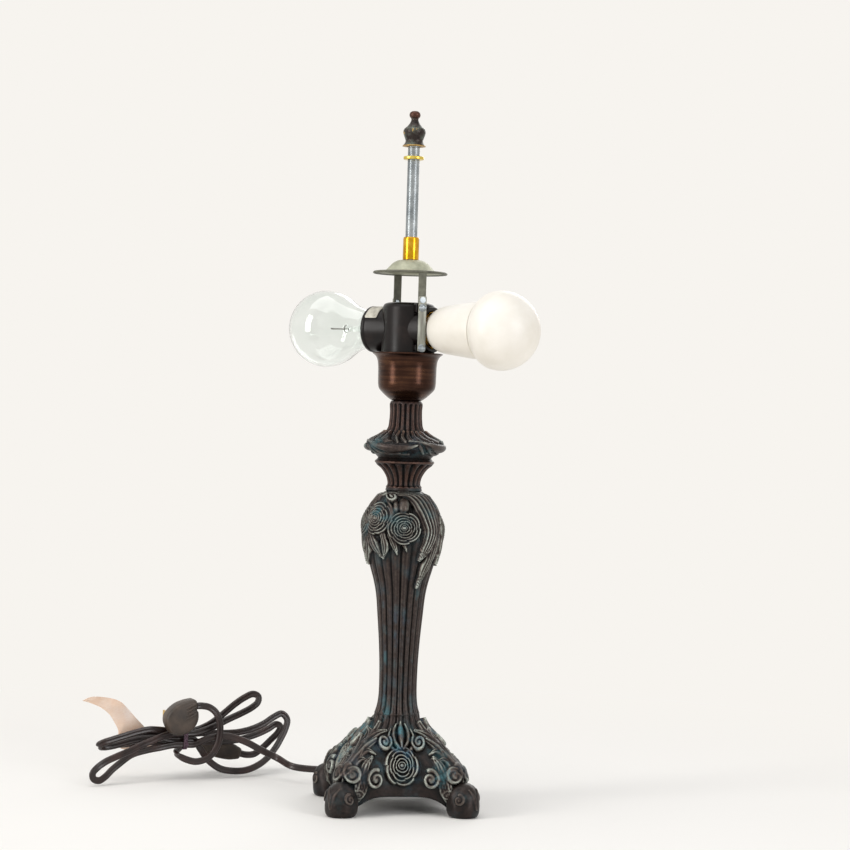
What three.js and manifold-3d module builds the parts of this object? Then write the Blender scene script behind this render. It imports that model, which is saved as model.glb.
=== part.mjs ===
// A cast bronze-finish table lamp with a twin lamp-holder cluster, two bulbs, a shade rod
// with its finial, and a brown flat cord that lies tied in a bundle beside the base.
// Millimetres, +Z up. The lamp's axis is the Z axis and the feet stand on z = 0.
// Angles round the axis are measured from the front face (-Y) towards the right (+X).
import * as THREE from 'three';
import { mergeVertices } from 'three/addons/utils/BufferGeometryUtils.js';
import Module from 'manifold-3d';

const wasm = await Module();
wasm.setup();

// Heights of the stacked castings.
const BASE_TOP = 72;
const COLUMN_TOP = 243.5;
const URN_TOP = 268;
const COLLAR_TOP = 312;
const CUP_TOP = 349;
const DOME_TOP = 420.5;
const COUPLING_TOP = 438;
const RING_BOTTOM = 497.5;
const RING_TOP = 500;
const FINIAL_BOTTOM = 507.7;
const FINIAL_TOP = 535;

// The threaded steel pipe and the bores round it.
const PIPE_RADIUS = 4.85;
const PIPE_BORE = 3.2;
const PIPE_HOLE = 5.3;
const CEILING = 58;

// Feet at the corners of the base.
const FOOT_OFFSET = 46.3;
const FLUTES = 12;

// The twin cluster: a barrel that lies along the base's diagonal, and its two bulbs.
const CLUSTER_HEIGHT = 367;
const CLUSTER_TURN = 49;
const BARREL_RADIUS = 17.5;
const BARREL_REACH = 33.5;
const HOLDER_BORE = 14.5;
const HOLDER_FLOOR = 8;
const BULB_TIP = 9.6;
// The LED side's holder and its bulb's base are set further in than those of the other side.
const LED_INSET = 10.6;
const LED_GLOBE_AT = 83;
const CLEAR_GLOBE_AT = 77;
const GLOBE_RADIUS = 30;

// The flat two-conductor cord, and the hole in the back of the base that it leaves by.
const CORD_WIDTH = 5.6;
const CORD_THICKNESS = 2.9;
const BUSHING_HOLE = 5.6;
const CORD_EXIT_HEIGHT = 24;

// The bars of the bracket stand at this angle and distance from the axis.
const BAR_TURN = 12.5;
const BAR_WIDTH = 6.4;
const TAB_INNER = 26.7;
const TAB_OUTER = 27.8;
const BAR_INNER = 28.1;
const BAR_OUTER = 29.3;

const rad = (degrees) => (degrees * Math.PI) / 180;
const compass = (degrees) => new THREE.Vector3(Math.sin(rad(degrees)), -Math.cos(rad(degrees)), 0);

// Finishes, as colour, roughness and metalness.
const FINISH = {
  bronze: [0x3d3f3b, 0.6, 0.5],
  copper: [0x5a3324, 0.4, 0.8],
  phenolic: [0x1e1817, 0.3, 0],
  brass: [0xc9982f, 0.3, 1],
  steel: [0x9a9a94, 0.45, 0.9],
  verdigris: [0x9ba58f, 0.6, 0.4],
  milk: [0xf0ece4, 0.5, 0],
  glass: [0xdfe8ea, 0.05, 0],
  cord: [0x38251f, 0.5, 0],
  plug: [0x4e4034, 0.6, 0],
  paper: [0xeadfca, 0.9, 0],
  black: [0x151515, 0.5, 0],
};

const lamp = new THREE.Group();

function mesh(name, finish, geometry, parent = lamp) {
  const [color, roughness, metalness] = FINISH[finish];
  const material = new THREE.MeshStandardMaterial({ color, roughness, metalness });
  const made = new THREE.Mesh(geometry, material);
  made.name = name;
  parent.add(made);
  return made;
}

// Joining and cutting closed geometries.
function solid(geometry) {
  const bare = geometry.clone();
  bare.deleteAttribute('normal');
  bare.deleteAttribute('uv');
  const merged = mergeVertices(bare, 1e-4);
  const points = merged.attributes.position.array;
  const triangles = new Uint32Array(merged.index.array);
  return new wasm.Manifold(new wasm.Mesh({ numProp: 3, vertProperties: points, triVerts: triangles }));
}

function geometryOf(body) {
  const { vertProperties, triVerts, numProp } = body.getMesh();
  const points = new Float32Array((vertProperties.length / numProp) * 3);
  for (let i = 0; i < points.length / 3; i += 1) {
    points.set(vertProperties.subarray(i * numProp, i * numProp + 3), i * 3);
  }
  const geometry = new THREE.BufferGeometry();
  geometry.setAttribute('position', new THREE.BufferAttribute(points, 3));
  geometry.setIndex(new THREE.BufferAttribute(triVerts, 1));
  return geometry;
}

const joined = (first, ...others) => geometryOf(others.reduce((sum, g) => sum.add(solid(g)), solid(first)));
const cut = (first, ...others) => geometryOf(others.reduce((sum, g) => sum.subtract(solid(g)), solid(first)));

// A closed surface whose triangles are turned round when they face inwards.
function outward(geometry) {
  const index = geometry.index.array;
  const p = geometry.attributes.position;
  const [a, b, c] = [new THREE.Vector3(), new THREE.Vector3(), new THREE.Vector3()];
  let volume = 0;
  for (let i = 0; i < index.length; i += 3) {
    a.fromBufferAttribute(p, index[i]);
    b.fromBufferAttribute(p, index[i + 1]);
    c.fromBufferAttribute(p, index[i + 2]);
    volume += a.dot(b.cross(c));
  }
  if (volume < 0) {
    for (let i = 0; i < index.length; i += 3) {
      [index[i + 1], index[i + 2]] = [index[i + 2], index[i + 1]];
    }
  }
  return geometry;
}

// A turned body from [radius, height] points. It starts and ends on the axis, or closes on itself.
function turned(points, segments = 24) {
  const geometry = new THREE.LatheGeometry(points.map(([r, z]) => new THREE.Vector2(r, z)), segments);
  geometry.rotateX(Math.PI / 2);
  geometry.deleteAttribute('normal');
  geometry.deleteAttribute('uv');
  return outward(mergeVertices(geometry, 1e-4));
}

const closedLoop = (points) => [...points, points[0]];
const sleeve = (inner, outer, low, high, segments = 24) =>
  turned(closedLoop([[inner, low], [outer, low], [outer, high], [inner, high]]), segments);
const drum = (radius, low, high, segments = 24) =>
  turned([[0, low], [radius, low], [radius, high], [0, high]], segments);

function block(width, depth, height, x, y, z) {
  const geometry = new THREE.BoxGeometry(width, depth, height);
  geometry.translate(x, y, z);
  return geometry;
}

// A ring-shaped body whose stations are functions of the angle: angle => [radius, height].
function lofted(stations, steps) {
  const points = [];
  const index = [];
  stations.forEach((station) => {
    for (let i = 0; i < steps; i += 1) {
      const turn = (i / steps) * 360;
      const [radius, height] = station(turn);
      const at = compass(turn).multiplyScalar(radius);
      points.push(at.x, at.y, height);
    }
  });
  stations.forEach((station, k) => {
    const next = (k + 1) % stations.length;
    for (let i = 0; i < steps; i += 1) {
      const j = (i + 1) % steps;
      const [a, b, c, d] = [k * steps + i, k * steps + j, next * steps + j, next * steps + i];
      index.push(a, b, c, a, c, d);
    }
  });
  const geometry = new THREE.BufferGeometry();
  geometry.setAttribute('position', new THREE.BufferAttribute(new Float32Array(points), 3));
  geometry.setIndex(index);
  return outward(geometry);
}

function hexNut(name, finish, across, bore, low, high, parent = lamp) {
  const shape = new THREE.Shape();
  for (let i = 0; i <= 6; i += 1) {
    const [x, y] = [Math.cos(rad(60 * i)), Math.sin(rad(60 * i))].map((v) => (v * across) / Math.sqrt(3));
    if (i === 0) shape.moveTo(x, y);
    else if (i < 6) shape.lineTo(x, y);
  }
  const hole = new THREE.Path();
  hole.absarc(0, 0, bore, 0, Math.PI * 2, true);
  shape.holes.push(hole);
  const geometry = new THREE.ExtrudeGeometry(shape, { depth: high - low, bevelEnabled: false,
    curveSegments: 12 });
  geometry.translate(0, 0, low);
  return mesh(name, finish, geometry, parent);
}

// A rose in relief: a lobed dome with a rolled bud, which faces outwards at an angle and height.
function rose(turn, reach, height, radius, relief) {
  const lobes = 5;
  const steps = 10;
  const rings = [[1, -1.2], [1, 0], [0.84, 0.75], [0.5, 0.7], [0.34, 1]];
  const points = [0, 0, -1.2 * relief];
  rings.forEach(([share, rise], k) => {
    for (let i = 0; i < steps; i += 1) {
      const a = (i / steps) * Math.PI * 2;
      const r = radius * share * (1 + (k < 3 ? 0.06 : 0.03) * Math.cos(lobes * a));
      points.push(r * Math.cos(a), r * Math.sin(a), relief * rise);
    }
  });
  points.push(0, 0, 0.8 * relief);
  const index = [];
  const ring = (k, i) => 1 + k * steps + (i % steps);
  const last = 1 + rings.length * steps;
  for (let i = 0; i < steps; i += 1) {
    index.push(0, ring(0, i + 1), ring(0, i));
    for (let k = 0; k < rings.length - 1; k += 1) {
      index.push(ring(k, i), ring(k, i + 1), ring(k + 1, i + 1));
      index.push(ring(k, i), ring(k + 1, i + 1), ring(k + 1, i));
    }
    index.push(ring(rings.length - 1, i), ring(rings.length - 1, i + 1), last);
  }
  const geometry = new THREE.BufferGeometry();
  geometry.setAttribute('position', new THREE.BufferAttribute(new Float32Array(points), 3));
  geometry.setIndex(index);
  const towards = new THREE.Quaternion().setFromUnitVectors(new THREE.Vector3(0, 0, 1), compass(turn));
  geometry.applyQuaternion(towards);
  const at = compass(turn).multiplyScalar(reach);
  geometry.translate(at.x, at.y, height);
  return outward(geometry);
}

// How far an angle is towards a corner of the base: 0 at a face's middle, 1 at a leg.
const cornerShare = (turn) => Math.abs(Math.sin(rad(2 * turn))) ** 3;

// Outlines of the base down the middle of a face and down a leg, as [radius, height].
const FACE_LINE = [[17.5, 72], [20, 67], [24, 61], [30, 54], [36, 45], [39.5, 36], [42, 26], [43.5, 16]];
const LEG_LINE = [[17.5, 72], [22.5, 67], [32, 59.5], [42, 53], [53, 44.5], [64, 36], [68, 29], [66, 18]];
const FACE_INSIDE = [[38.5, 16], [35.5, 33], [28.5, 47], [17, CEILING]];
const LEG_INSIDE = [[58, 14], [59, 30], [40, 47], [17, CEILING]];

function baseCasting() {
  const between = (face, leg) => (turn) => {
    const share = cornerShare(turn);
    return [face[0] + (leg[0] - face[0]) * share, face[1] + (leg[1] - face[1]) * share];
  };
  const stations = [
    ...FACE_LINE.map((point, i) => between(point, LEG_LINE[i])),
    ...FACE_INSIDE.map((point, i) => between(point, LEG_INSIDE[i])),
    () => [PIPE_HOLE, CEILING],
    () => [PIPE_HOLE, BASE_TOP],
  ];
  const skirt = lofted(stations, 32);
  const foot = [[0, 0], [9, 0], [11.8, 2.5], [12.6, 9], [12.2, 15], [10, 21], [5.8, 24.5], [0, 26]];
  const feet = [45, 135, 225, 315].map((turn) => {
    const geometry = turned(foot, 12);
    const at = compass(turn).multiplyScalar(FOOT_OFFSET * Math.SQRT2);
    geometry.translate(at.x, at.y, 0);
    return geometry;
  });
  const roses = [0, 90, 180, 270].map((turn) => rose(turn, 40.5, 38.5, 14.5, 5));
  const cordHole = drum(BUSHING_HOLE, 20, 60, 16);
  cordHole.rotateX(-Math.PI / 2);
  cordHole.translate(0, 0, CORD_EXIT_HEIGHT);
  return cut(joined(skirt, ...feet, ...roses), cordHole);
}

// The column's outline as [height, radius], under its roses and leaves.
const COLUMN_LINE = [[72, 17.5], [77, 16], [85, 15], [104, 14.9], [124, 15.8], [146, 17.6], [164, 19.4],
  [174, 21.5], [184, 24.6], [194, 27.6], [206, 29.4], [220, 29.2], [230, 27.2], [237, 23.2], [243.5, 14.4]];

function fluted(line, depth, low, high, steps = FLUTES * 2) {
  const flute = (turn) => Math.abs(Math.cos(rad((turn * FLUTES) / 2)));
  const outside = line.map(([height, radius, share = 1]) => (turn) =>
    [radius - depth * share * (1 - flute(turn)), height]);
  return lofted([() => [PIPE_HOLE, low], ...outside, () => [PIPE_HOLE, high]], steps);
}

function columnCasting() {
  const body = fluted(COLUMN_LINE, 1.6, BASE_TOP, COLUMN_TOP);
  const faceRoses = [0, 90, 180, 270].map((turn) => rose(turn, 29.2, 212, 11.8, 4));
  const cornerRoses = [315, 135].map((turn) => rose(turn, 28.6, 222, 11.2, 4));
  const leaves = [45, 225].map((turn) => {
    const leaf = new THREE.SphereGeometry(1, 10, 7);
    leaf.scale(9.5, 4.2, 21);
    const at = compass(turn).multiplyScalar(28.6);
    leaf.rotateZ(rad(turn));
    leaf.translate(at.x, at.y, 219);
    return leaf;
  });
  return joined(body, ...faceRoses, ...cornerRoses, ...leaves);
}

const URN_LINE = [[243.5, 14.2], [247.7, 12.7], [252, 13.2], [256, 15], [260, 18], [263, 21.5], [265.5, 22.2],
  [268, 20.6, 0]];
const COLLAR_LINE = [[268, 20.4, 0], [270, 23.5], [272.5, 27], [275.5, 30.6], [279, 30.8], [282, 27.5],
  [285, 21.5],
  [288, 16.4], [291.5, 13.6], [297, 12.7], [304, 12.4], [310, 12.6], [312, 11.6, 0]];

function castings() {
  mesh('base_casting', 'bronze', baseCasting());
  mesh('column_casting', 'bronze', columnCasting());
  mesh('urn_neck_casting', 'bronze', fluted(URN_LINE, 1.4, COLUMN_TOP, URN_TOP));
  mesh('collar_neck_casting', 'bronze', fluted(COLLAR_LINE, 1.4, URN_TOP, COLLAR_TOP));
}

// The pipe that draws the stack together, with what holds it at both ends.
function centrePipe() {
  mesh('centre_pipe', 'steel', sleeve(PIPE_BORE, PIPE_RADIUS, 49, 343, 16));
  mesh('base_washer', 'steel', sleeve(PIPE_HOLE, 14, 55.8, 57.7, 20));
  hexNut('base_locknut', 'steel', 15, PIPE_HOLE, 50.5, 55.5);
  hexNut('cup_locknut', 'steel', 15, PIPE_HOLE, 313.5, 318);
}

function socketCup() {
  const outside = [[PIPE_HOLE, 312], [11, 312], [14.8, 314.6], [18.6, 318], [21.6, 321.2], [22.3, 325],
    [22.5, 338],
    [23, 343], [24.4, 346.2], [27, 348.2], [27, CUP_TOP]];
  const inside = [[26.2, CUP_TOP], [23.5, 347], [22, 343.4], [21.5, 338], [21.3, 325.4], [20.7, 322], [18,
    319.2],
    [14.2, 315.8], [10.8, 313.2], [PIPE_HOLE, 313.2]];
  mesh('socket_cup', 'copper', turned(closedLoop([...outside, ...inside]), 20));
}

// Local +Z along the barrel towards one of the bulbs.
const axisTurn = (turn) => new THREE.Quaternion().setFromUnitVectors(new THREE.Vector3(0, 0, 1),
  compass(turn));

function lying(geometry, turn) {
  geometry.applyQuaternion(axisTurn(turn));
  geometry.translate(0, 0, CLUSTER_HEIGHT);
  return geometry;
}

// A box that runs out from the axis between two radii at an angle.
function radialBox(turn, inner, outer, width, low, high) {
  const geometry = block(width, outer - inner, high - low, 0, -(inner + outer) / 2, (low + high) / 2);
  geometry.rotateZ(rad(turn));
  return geometry;
}

// Lugs of the cluster body that take the screws, as [low, high].
const LUG_HEIGHTS = [[379.5, 386.5], [350, 355]];
const LUG_REACH = 26.4;
const SCREW_HEIGHTS = { upper: 383, lower: 352.5 };
const SCREW_RADIUS = 1.6;
const RIVET_HEIGHT = 389;
const HOLE_GAP = 0.3;
const SIDES = { front: BAR_TURN, back: BAR_TURN + 180 };

// A round rod along a side's radius, from [distance from the axis, radius] points.
function radialRod(turn, height, points, segments = 12) {
  const geometry = turned(points.map(([reach, radius]) => [radius, reach]), segments);
  geometry.applyQuaternion(axisTurn(turn));
  geometry.translate(0, 0, height);
  return geometry;
}

const radialHole = (turn, height, radius, inner, outer) =>
  radialRod(turn, height, [[inner, 0], [inner, radius], [outer, radius], [outer, 0]]);

function clusterBody() {
  const turns = Object.values(SIDES);
  const barrel = lying(drum(BARREL_RADIUS, -BARREL_REACH, BARREL_REACH - LED_INSET, 20), CLUSTER_TURN);
  const hub = drum(19.1, 326, 387.5, 24);
  const lugs = LUG_HEIGHTS.flatMap(([low, high]) => turns.map((turn) => radialBox(turn, 0, LUG_REACH, 7.4,
    low, high)));
  const holders = [[0, LED_INSET], [180, 0]].map(([half, inset]) =>
    lying(drum(HOLDER_BORE, HOLDER_FLOOR - inset, 60, 18), CLUSTER_TURN + half));
  const wireWay = lying(drum(2.2, -20, 20, 10), CLUSTER_TURN);
  const pipeWay = drum(PIPE_HOLE, 320, 366.5, 16);
  const grooves = turns.map((turn) => radialBox(turn, LUG_REACH, 40, BAR_WIDTH + 1, 340, 395));
  const holes = turns.flatMap((turn) =>
    Object.values(SCREW_HEIGHTS).map((height) => radialHole(turn, height, SCREW_RADIUS + HOLE_GAP, 18, 40)));
  mesh('cluster_body', 'phenolic', cut(joined(barrel, hub, ...lugs), ...holders, wireWay, pipeWay,
    ...grooves, ...holes));
}

// A blank paper label that lies round the top of the barrel.
function clusterLabel() {
  const [inner, outer] = [BARREL_RADIUS + 0.3, BARREL_RADIUS + 0.6];
  const [from, to] = [rad(CLUSTER_TURN + 98), rad(CLUSTER_TURN + 152)];
  const shape = new THREE.Shape();
  shape.absarc(0, 0, outer, from, to, false);
  shape.absarc(0, 0, inner, to, from, true);
  const geometry = new THREE.ExtrudeGeometry(shape, { depth: 11.4, bevelEnabled: false, curveSegments: 8 });
  geometry.translate(0, 0, -31);
  mesh('cluster_label', 'paper', lying(geometry, CLUSTER_TURN));
}

function clusterBracket() {
  Object.entries(SIDES).forEach(([side, turn]) => {
    const bar = radialBox(turn, BAR_INNER, BAR_OUTER, BAR_WIDTH, 350, 392);
    const holes = [...Object.values(SCREW_HEIGHTS), RIVET_HEIGHT].map((height) =>
      radialHole(turn, height, SCREW_RADIUS + HOLE_GAP, 20, 40));
    mesh(`bracket_bar_${side}`, 'steel', cut(bar, ...holes));
    Object.entries(SCREW_HEIGHTS).forEach(([level, height]) => {
      const head = BAR_OUTER + HOLE_GAP;
      mesh(`bracket_screw_${side}_${level}`, 'steel', radialRod(turn, height, [[18.5, 0], [18.5,
        SCREW_RADIUS],
        [head, SCREW_RADIUS], [head, 2.9], [head + 0.8, 2.9], [head + 1.6, 1.6], [head + 1.6, 0]]));
    });
    mesh(`bracket_rivet_${side}`, 'steel', radialRod(turn, RIVET_HEIGHT, [[TAB_INNER - 1.2, 0],
      [TAB_INNER - 1.2, 2.2],
      [TAB_INNER - HOLE_GAP, 2.2], [TAB_INNER - HOLE_GAP, 1.5], [BAR_OUTER + HOLE_GAP, 1.5],
      [BAR_OUTER + HOLE_GAP, 2.3], [BAR_OUTER + 1, 1.8], [BAR_OUTER + 1, 0]]));
  });
}

// The stamped cap over the cluster: a shallow dome, a wide rim and two tabs bent down from it.
function domeCap() {
  const above = [[5.4, DOME_TOP], [9.6, 420.2], [13.6, 418], [17.2, 414], [19.4, 411.9], [27.6, 411.5],
    [28.6, 410.9]];
  const below = [[28.6, 409.6], [27.6, 409.2], [27.2, 410], [19, 410.6], [16.4, 412.9], [12.9, 416.8],
    [9.2, 418.9],
    [5.4, 419.2]];
  const cap = turned(closedLoop([...above, ...below]), 20);
  const tabs = Object.values(SIDES).map((turn) => radialBox(turn, TAB_INNER, TAB_OUTER, 6.2, 386, 410.4));
  const holes = Object.values(SIDES).map((turn) => radialHole(turn, RIVET_HEIGHT, 1.9, 20, 40));
  mesh('dome_cap', 'verdigris', cut(joined(cap, ...tabs), ...holes));
}

// The rod that carries a shade, with the nut under the dome and the coupling above it.
function shadeRod() {
  mesh('dome_coupling', 'brass', sleeve(PIPE_HOLE - 0.3, 5.9, DOME_TOP + 0.1, COUPLING_TOP, 20));
  mesh('shade_rod', 'steel', sleeve(2.2, 4.6, 412, 513, 16));
  hexNut('dome_locknut', 'brass', 14, 5, 414.5, 418.6);
  mesh('shade_rest_ring', 'brass', sleeve(4.9, 7.9, RING_BOTTOM, RING_TOP, 20));
}

const FINIAL_LINE = [[9.2, FINIAL_BOTTOM], [8.6, 508.8], [6.6, 510.6], [6.4, 512.4], [7.8, 515.2], [8.8,
  518.6],
  [9.1, 521.6], [6, 524.8], [3.3, 527.2], [3.8, 530.6], [2.6, 533.6], [0, FINIAL_TOP]];

function finial() {
  mesh('finial', 'verdigris', turned([[0, 521], [5.2, 521], [5.2, 514.6], [6.3, 514.6], [6.3, FINIAL_BOTTOM],
    ...FINIAL_LINE], 16));
  mesh('finial_insert', 'brass', sleeve(4.9, 6, FINIAL_BOTTOM + 0.3, 514.2, 20));
}

// Brass shells and centre contacts inside the two lamp holders.
function lampHolders() {
  Object.entries({ led: [0, LED_INSET], clear: [180, 0] }).forEach(([side, [half, inset]]) => {
    const shell = turned(closedLoop([[8, 10.5], [14.1, 10.5], [14.1, 33], [13.5, 33], [13.5, 11.1], [8,
      11.1]]), 16);
    shell.translate(0, 0, -inset);
    mesh(`screw_shell_${side}`, 'brass', lying(shell, CLUSTER_TURN + half));
    const contact = turned([[0, 8.3], [4.5, 8.3], [4.5, 8.7], [2, 9.3], [0, 9.3]], 12);
    contact.translate(0, 0, -inset);
    mesh(`centre_contact_${side}`, 'brass', lying(contact, CLUSTER_TURN + half));
  });
}

// The parts of a screw cap, along a bulb's own axis from the lamp's axis outwards.
function screwCap(kind, inset, parent) {
  const further = (points) => points.map(([radius, reach]) => [radius, reach - inset]);
  const tip = further([[0, BULB_TIP], [3.2, BULB_TIP], [4.6, 10.4], [4.6, 12], [0, 12]]);
  const insulator = further([[0, 12.3], [6, 12.3], [11.2, 15.8], [11.2, 16.4], [0, 16.4]]);
  const cap = further([[10.6, 16.7], [13.1, 17.6], [13.1, 34.6], [12.6, 34.6], [12.6, 18.2], [10.6, 17.3]]);
  mesh(`${kind}_bulb_contact_tip`, 'steel', turned(tip, 12), parent);
  mesh(`${kind}_bulb_insulator`, 'black', turned(insulator, 16), parent);
  mesh(`${kind}_bulb_screw_cap`, 'steel', turned(closedLoop(cap), 16), parent);
}

function ledBulb(parent) {
  screwCap('led', LED_INSET, parent);
  const housing = [[0, 24.4], [12.6, 24.4], [14.8, 26], [16.8, 29.8], [18.2, 34.6], [19.5, 44], [20.6, 52],
    [21.6, 60], [21.8, 66]];
  const hollow = [[20.6, 66], [20.6, 61.2], [17.6, 61.2], [16.6, 44], [13, 30], [0, 30]];
  mesh('led_bulb_housing', 'milk', turned([...housing, ...hollow], 18), parent);
  mesh('led_bulb_board', 'steel', drum(20.2, 61.5, 63, 20), parent);
  const outer = [[21.8, 66.3], [23.8, 68.3], [26.6, 71.2], [28.9, 75.5], [30, 81], [30, 85.5], [28.8, 91.2],
    [26, 97.8], [21.4, 103.8], [15.2, 108.7], [8, 111.9], [0, LED_GLOBE_AT + GLOBE_RADIUS]];
  const inner = [[0, 111.8], [7.6, 110.7], [14.5, 107.6], [20.5, 102.9], [24.9, 97.2], [27.6, 90.8], [28.8,
    85.3],
    [28.8, 81.2], [27.8, 76], [25.7, 72.1], [22.9, 69.2], [20.6, 66.9]];
  mesh('led_bulb_globe', 'milk', turned(closedLoop([...outer, ...inner]), 18), parent);
}

function clearBulb(parent) {
  screwCap('clear', 0, parent);
  const outer = [[12.2, 24], [12.2, 35], [14.2, 37.4], [15.6, 41], [18.2, 48], [22, 54.8], [26, 61.2],
    [28.9, 68.2],
    [30, CLEAR_GLOBE_AT - 1.5], [29.6, 82], [27, 89.6], [21.8, 97], [14.6, 102.8], [7, 106], [0, 107]];
  const inner = [[0, 106.1], [6.7, 105.1], [14.1, 102], [21.1, 96.4], [26.2, 89.2], [28.7, 81.9], [29.1,
    75.5],
    [28, 68.5], [25.2, 61.7], [21.2, 55.2], [17.4, 48.3], [14.8, 41.3], [13.4, 37.8], [11.3, 35.3], [11.3,
      24]];
  mesh('clear_bulb_glass', 'glass', turned(closedLoop([...outer, ...inner]), 18), parent);
  mesh('clear_bulb_stem', 'glass', turned([[0, 25], [9.5, 25], [6, 31], [3.6, 38], [2.2, 46], [2.2, 56],
    [3.2, 58],
    [0, 60]], 12), parent);
  const wire = [[3.3, 50], [6.5, 58], [10.5, 66], [7.5, 71], [0, 72.5]];
  const path = [...wire.map(([x, s]) => [x, s]), ...wire.slice(0, -1).reverse().map(([x, s]) => [-x, s])];
  const curve = new THREE.CatmullRomCurve3(path.map(([x, s]) => new THREE.Vector3(x, 0, s)));
  const ring = new THREE.Shape();
  for (let i = 0; i < 5; i += 1) {
    const [x, y] = [0.4 * Math.cos(rad(72 * i)), 0.4 * Math.sin(rad(72 * i))];
    if (i === 0) ring.moveTo(x, y);
    else ring.lineTo(x, y);
  }
  const filament = new THREE.ExtrudeGeometry(ring, { extrudePath: curve, steps: 22, bevelEnabled: false });
  mesh('clear_bulb_filament', 'steel', filament, parent);
}

function bulbs() {
  [[ledBulb, 0], [clearBulb, 180]].forEach(([make, half]) => {
    const group = new THREE.Group();
    group.quaternion.copy(axisTurn(CLUSTER_TURN + half));
    group.position.z = CLUSTER_HEIGHT;
    lamp.add(group);
    make(group);
  });
}

// The bundle has its own frame at its tied waist: u to the right, v away from the front, z up.
const WAIST = new THREE.Vector3(-158, 128, 0);
const BUNDLE_TURN = 15;
const ALONG = new THREE.Vector3(Math.cos(rad(BUNDLE_TURN)), Math.sin(rad(BUNDLE_TURN)), 0);
const BEHIND = new THREE.Vector3(-ALONG.y, ALONG.x, 0);
const UPWARDS = new THREE.Vector3(0, 0, 1);
const inBundle = ([u, v, z]) =>
  WAIST.clone().addScaledVector(ALONG, u).addScaledVector(BEHIND, v).addScaledVector(UPWARDS, z);

// At the waist the strands lie in three layers from front to back and in two rows.
const FRONT = { v: -6, upper: 36.6, lower: 27.4 };
const MIDDLE = { v: -2, upper: 38, lower: 30.4 };
const REAR = { v: 2, upper: 34.8, lower: 27.6 };
const WAIST_REACH = 9;

// Three points of one strand across the waist, to the left or to the right.
const leftward = ({ v }, z) => [[WAIST_REACH, v, z], [0, v, z], [-WAIST_REACH, v, z]];
const rightward = ({ v }, z) => leftward({ v }, z).reverse();

// The cord from the bushing, behind the back left foot, to the bundle. World millimetres.
const LEAD_ROUTE = [[0, 59, 24], [0, 65, 24], [-4, 77, 22], [-17, 87, 17.5], [-35, 93, 13], [-54, 98, 12],
  [-70, 102, 13.5]];
const LEAD_TO_BUNDLE = [[72, -27, 17.6], [59, -23, 24], [50, -19.5, 29], [41, -16.5, 32.6], [32, -14, 34.6],
  [22, -11.5, 33.6], [14, -9, 30.5]];

// The bundle's loops in turn, in its own frame.
const TEARDROP_LOOP = [[-21, -6.5, 25.6], [-33, -9, 24.2], [-46, -12.5, 21.6], [-57, -17, 15.8],
  [-64.5, -20, 11], [-70.5, -23, 6.4], [-76.5, -26, 4], [-81.5, -28, 6], [-82.5, -29, 10.4], [-78.6, -29, 15],
  [-72, -27, 18.8], [-61.5, -23, 22.2], [-50.7, -18.5, 25.2], [-40, -14, 28.8], [-28, -10.5, 32.4], [-19,
    -8, 35]];
const HIGH_LOOP = [[17, -6.3, 38.8], [25.5, -6.4, 42], [36.5, -6.2, 47], [48, -6, 51.8], [57, -5.6, 56.2],
  [62.4, -4.6, 60.4], [63, -3.2, 65], [58.6, -2.2, 66.8], [51.4, -1.6, 63.8], [43.8, -1.2, 58.8],
  [36.8, -1, 53.2], [29.6, -1.2, 47.6], [21, -1.5, 42.2]];
const LEFT_LOOP = [[-17.5, -2.6, 39], [-29, -3.6, 40], [-40, -5, 38.4], [-52, -6.6, 35.6], [-62, -8, 33.2],
  [-68, -8.6, 31.6], [-71.4, -6.8, 29.6], [-70.6, -3.2, 27.4], [-65.4, -0.9, 26.6], [-58, -0.6, 27.4],
  [-50, -0.6, 29.2], [-39, -0.6, 31.6], [-28, -1, 32.4], [-17, -1.6, 31.8]];
const FLOOR_LOOP = [[14.5, -2.6, 23], [20.5, -5.6, 14], [29.5, -9.6, 7.4], [41, -11, 5.2], [53, -9, 5.4],
  [64.5, -5, 8.6], [73.2, -1, 13.2], [81.4, 3, 20.6], [87.4, 6, 28.4], [92, 8.5, 36], [93.8, 10, 43],
  [89.4, 11, 48], [81.6, 10.5, 45.2], [74, 9.5, 40.8], [63.5, 8, 36.8], [51.5, 6.5, 34.4], [39.6, 5.2, 34],
  [27.7, 4, 34.6], [17, 2.8, 35]];
const INNER_LEFT_LOOP = [[-16, 2.4, 35.2], [-27, 2.8, 35.3], [-38, 3, 34.6], [-47.6, 2.8, 32.6],
  [-54, 3.2, 30.8], [-58, 5, 29.2], [-56.6, 8, 27.4], [-51.4, 8.8, 26.8], [-44, 8, 27.2], [-35, 6.6, 28.2],
  [-26, 4.8, 28.6], [-17, 3, 28]];
const LAST_LOOP = [[17, 3.4, 27.8], [28.4, 5.6, 27.4], [41, 8.4, 27], [53, 11, 27.6], [62.3, 12.6, 29.4],
  [71.6, 14.2, 32], [80.6, 15.8, 35.6], [86.4, 17.2, 38.4], [91, 18.6, 36.4], [89.4, 19.2, 31.4],
  [82.4, 19, 24.6], [75, 18.2, 18.4], [68, 17.4, 14]];
const FRONT_LOOP = [[4.6, 11.4, 24.6], [-1.6, 6, 21.8], [-5.6, 0, 20.6], [-7.2, -6, 20.2], [-5.8, -11.4,
  18.8],
  [-1, -15, 16.6], [6, -17.2, 15], [13.6, -18.6, 16.8], [20, -19.2, 21.8], [24, -19.6, 29.6], [25.4, -19.6,
    39],
  [24.6, -19.6, 48], [21.2, -19.2, 55], [16, -18.2, 59]];

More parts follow.
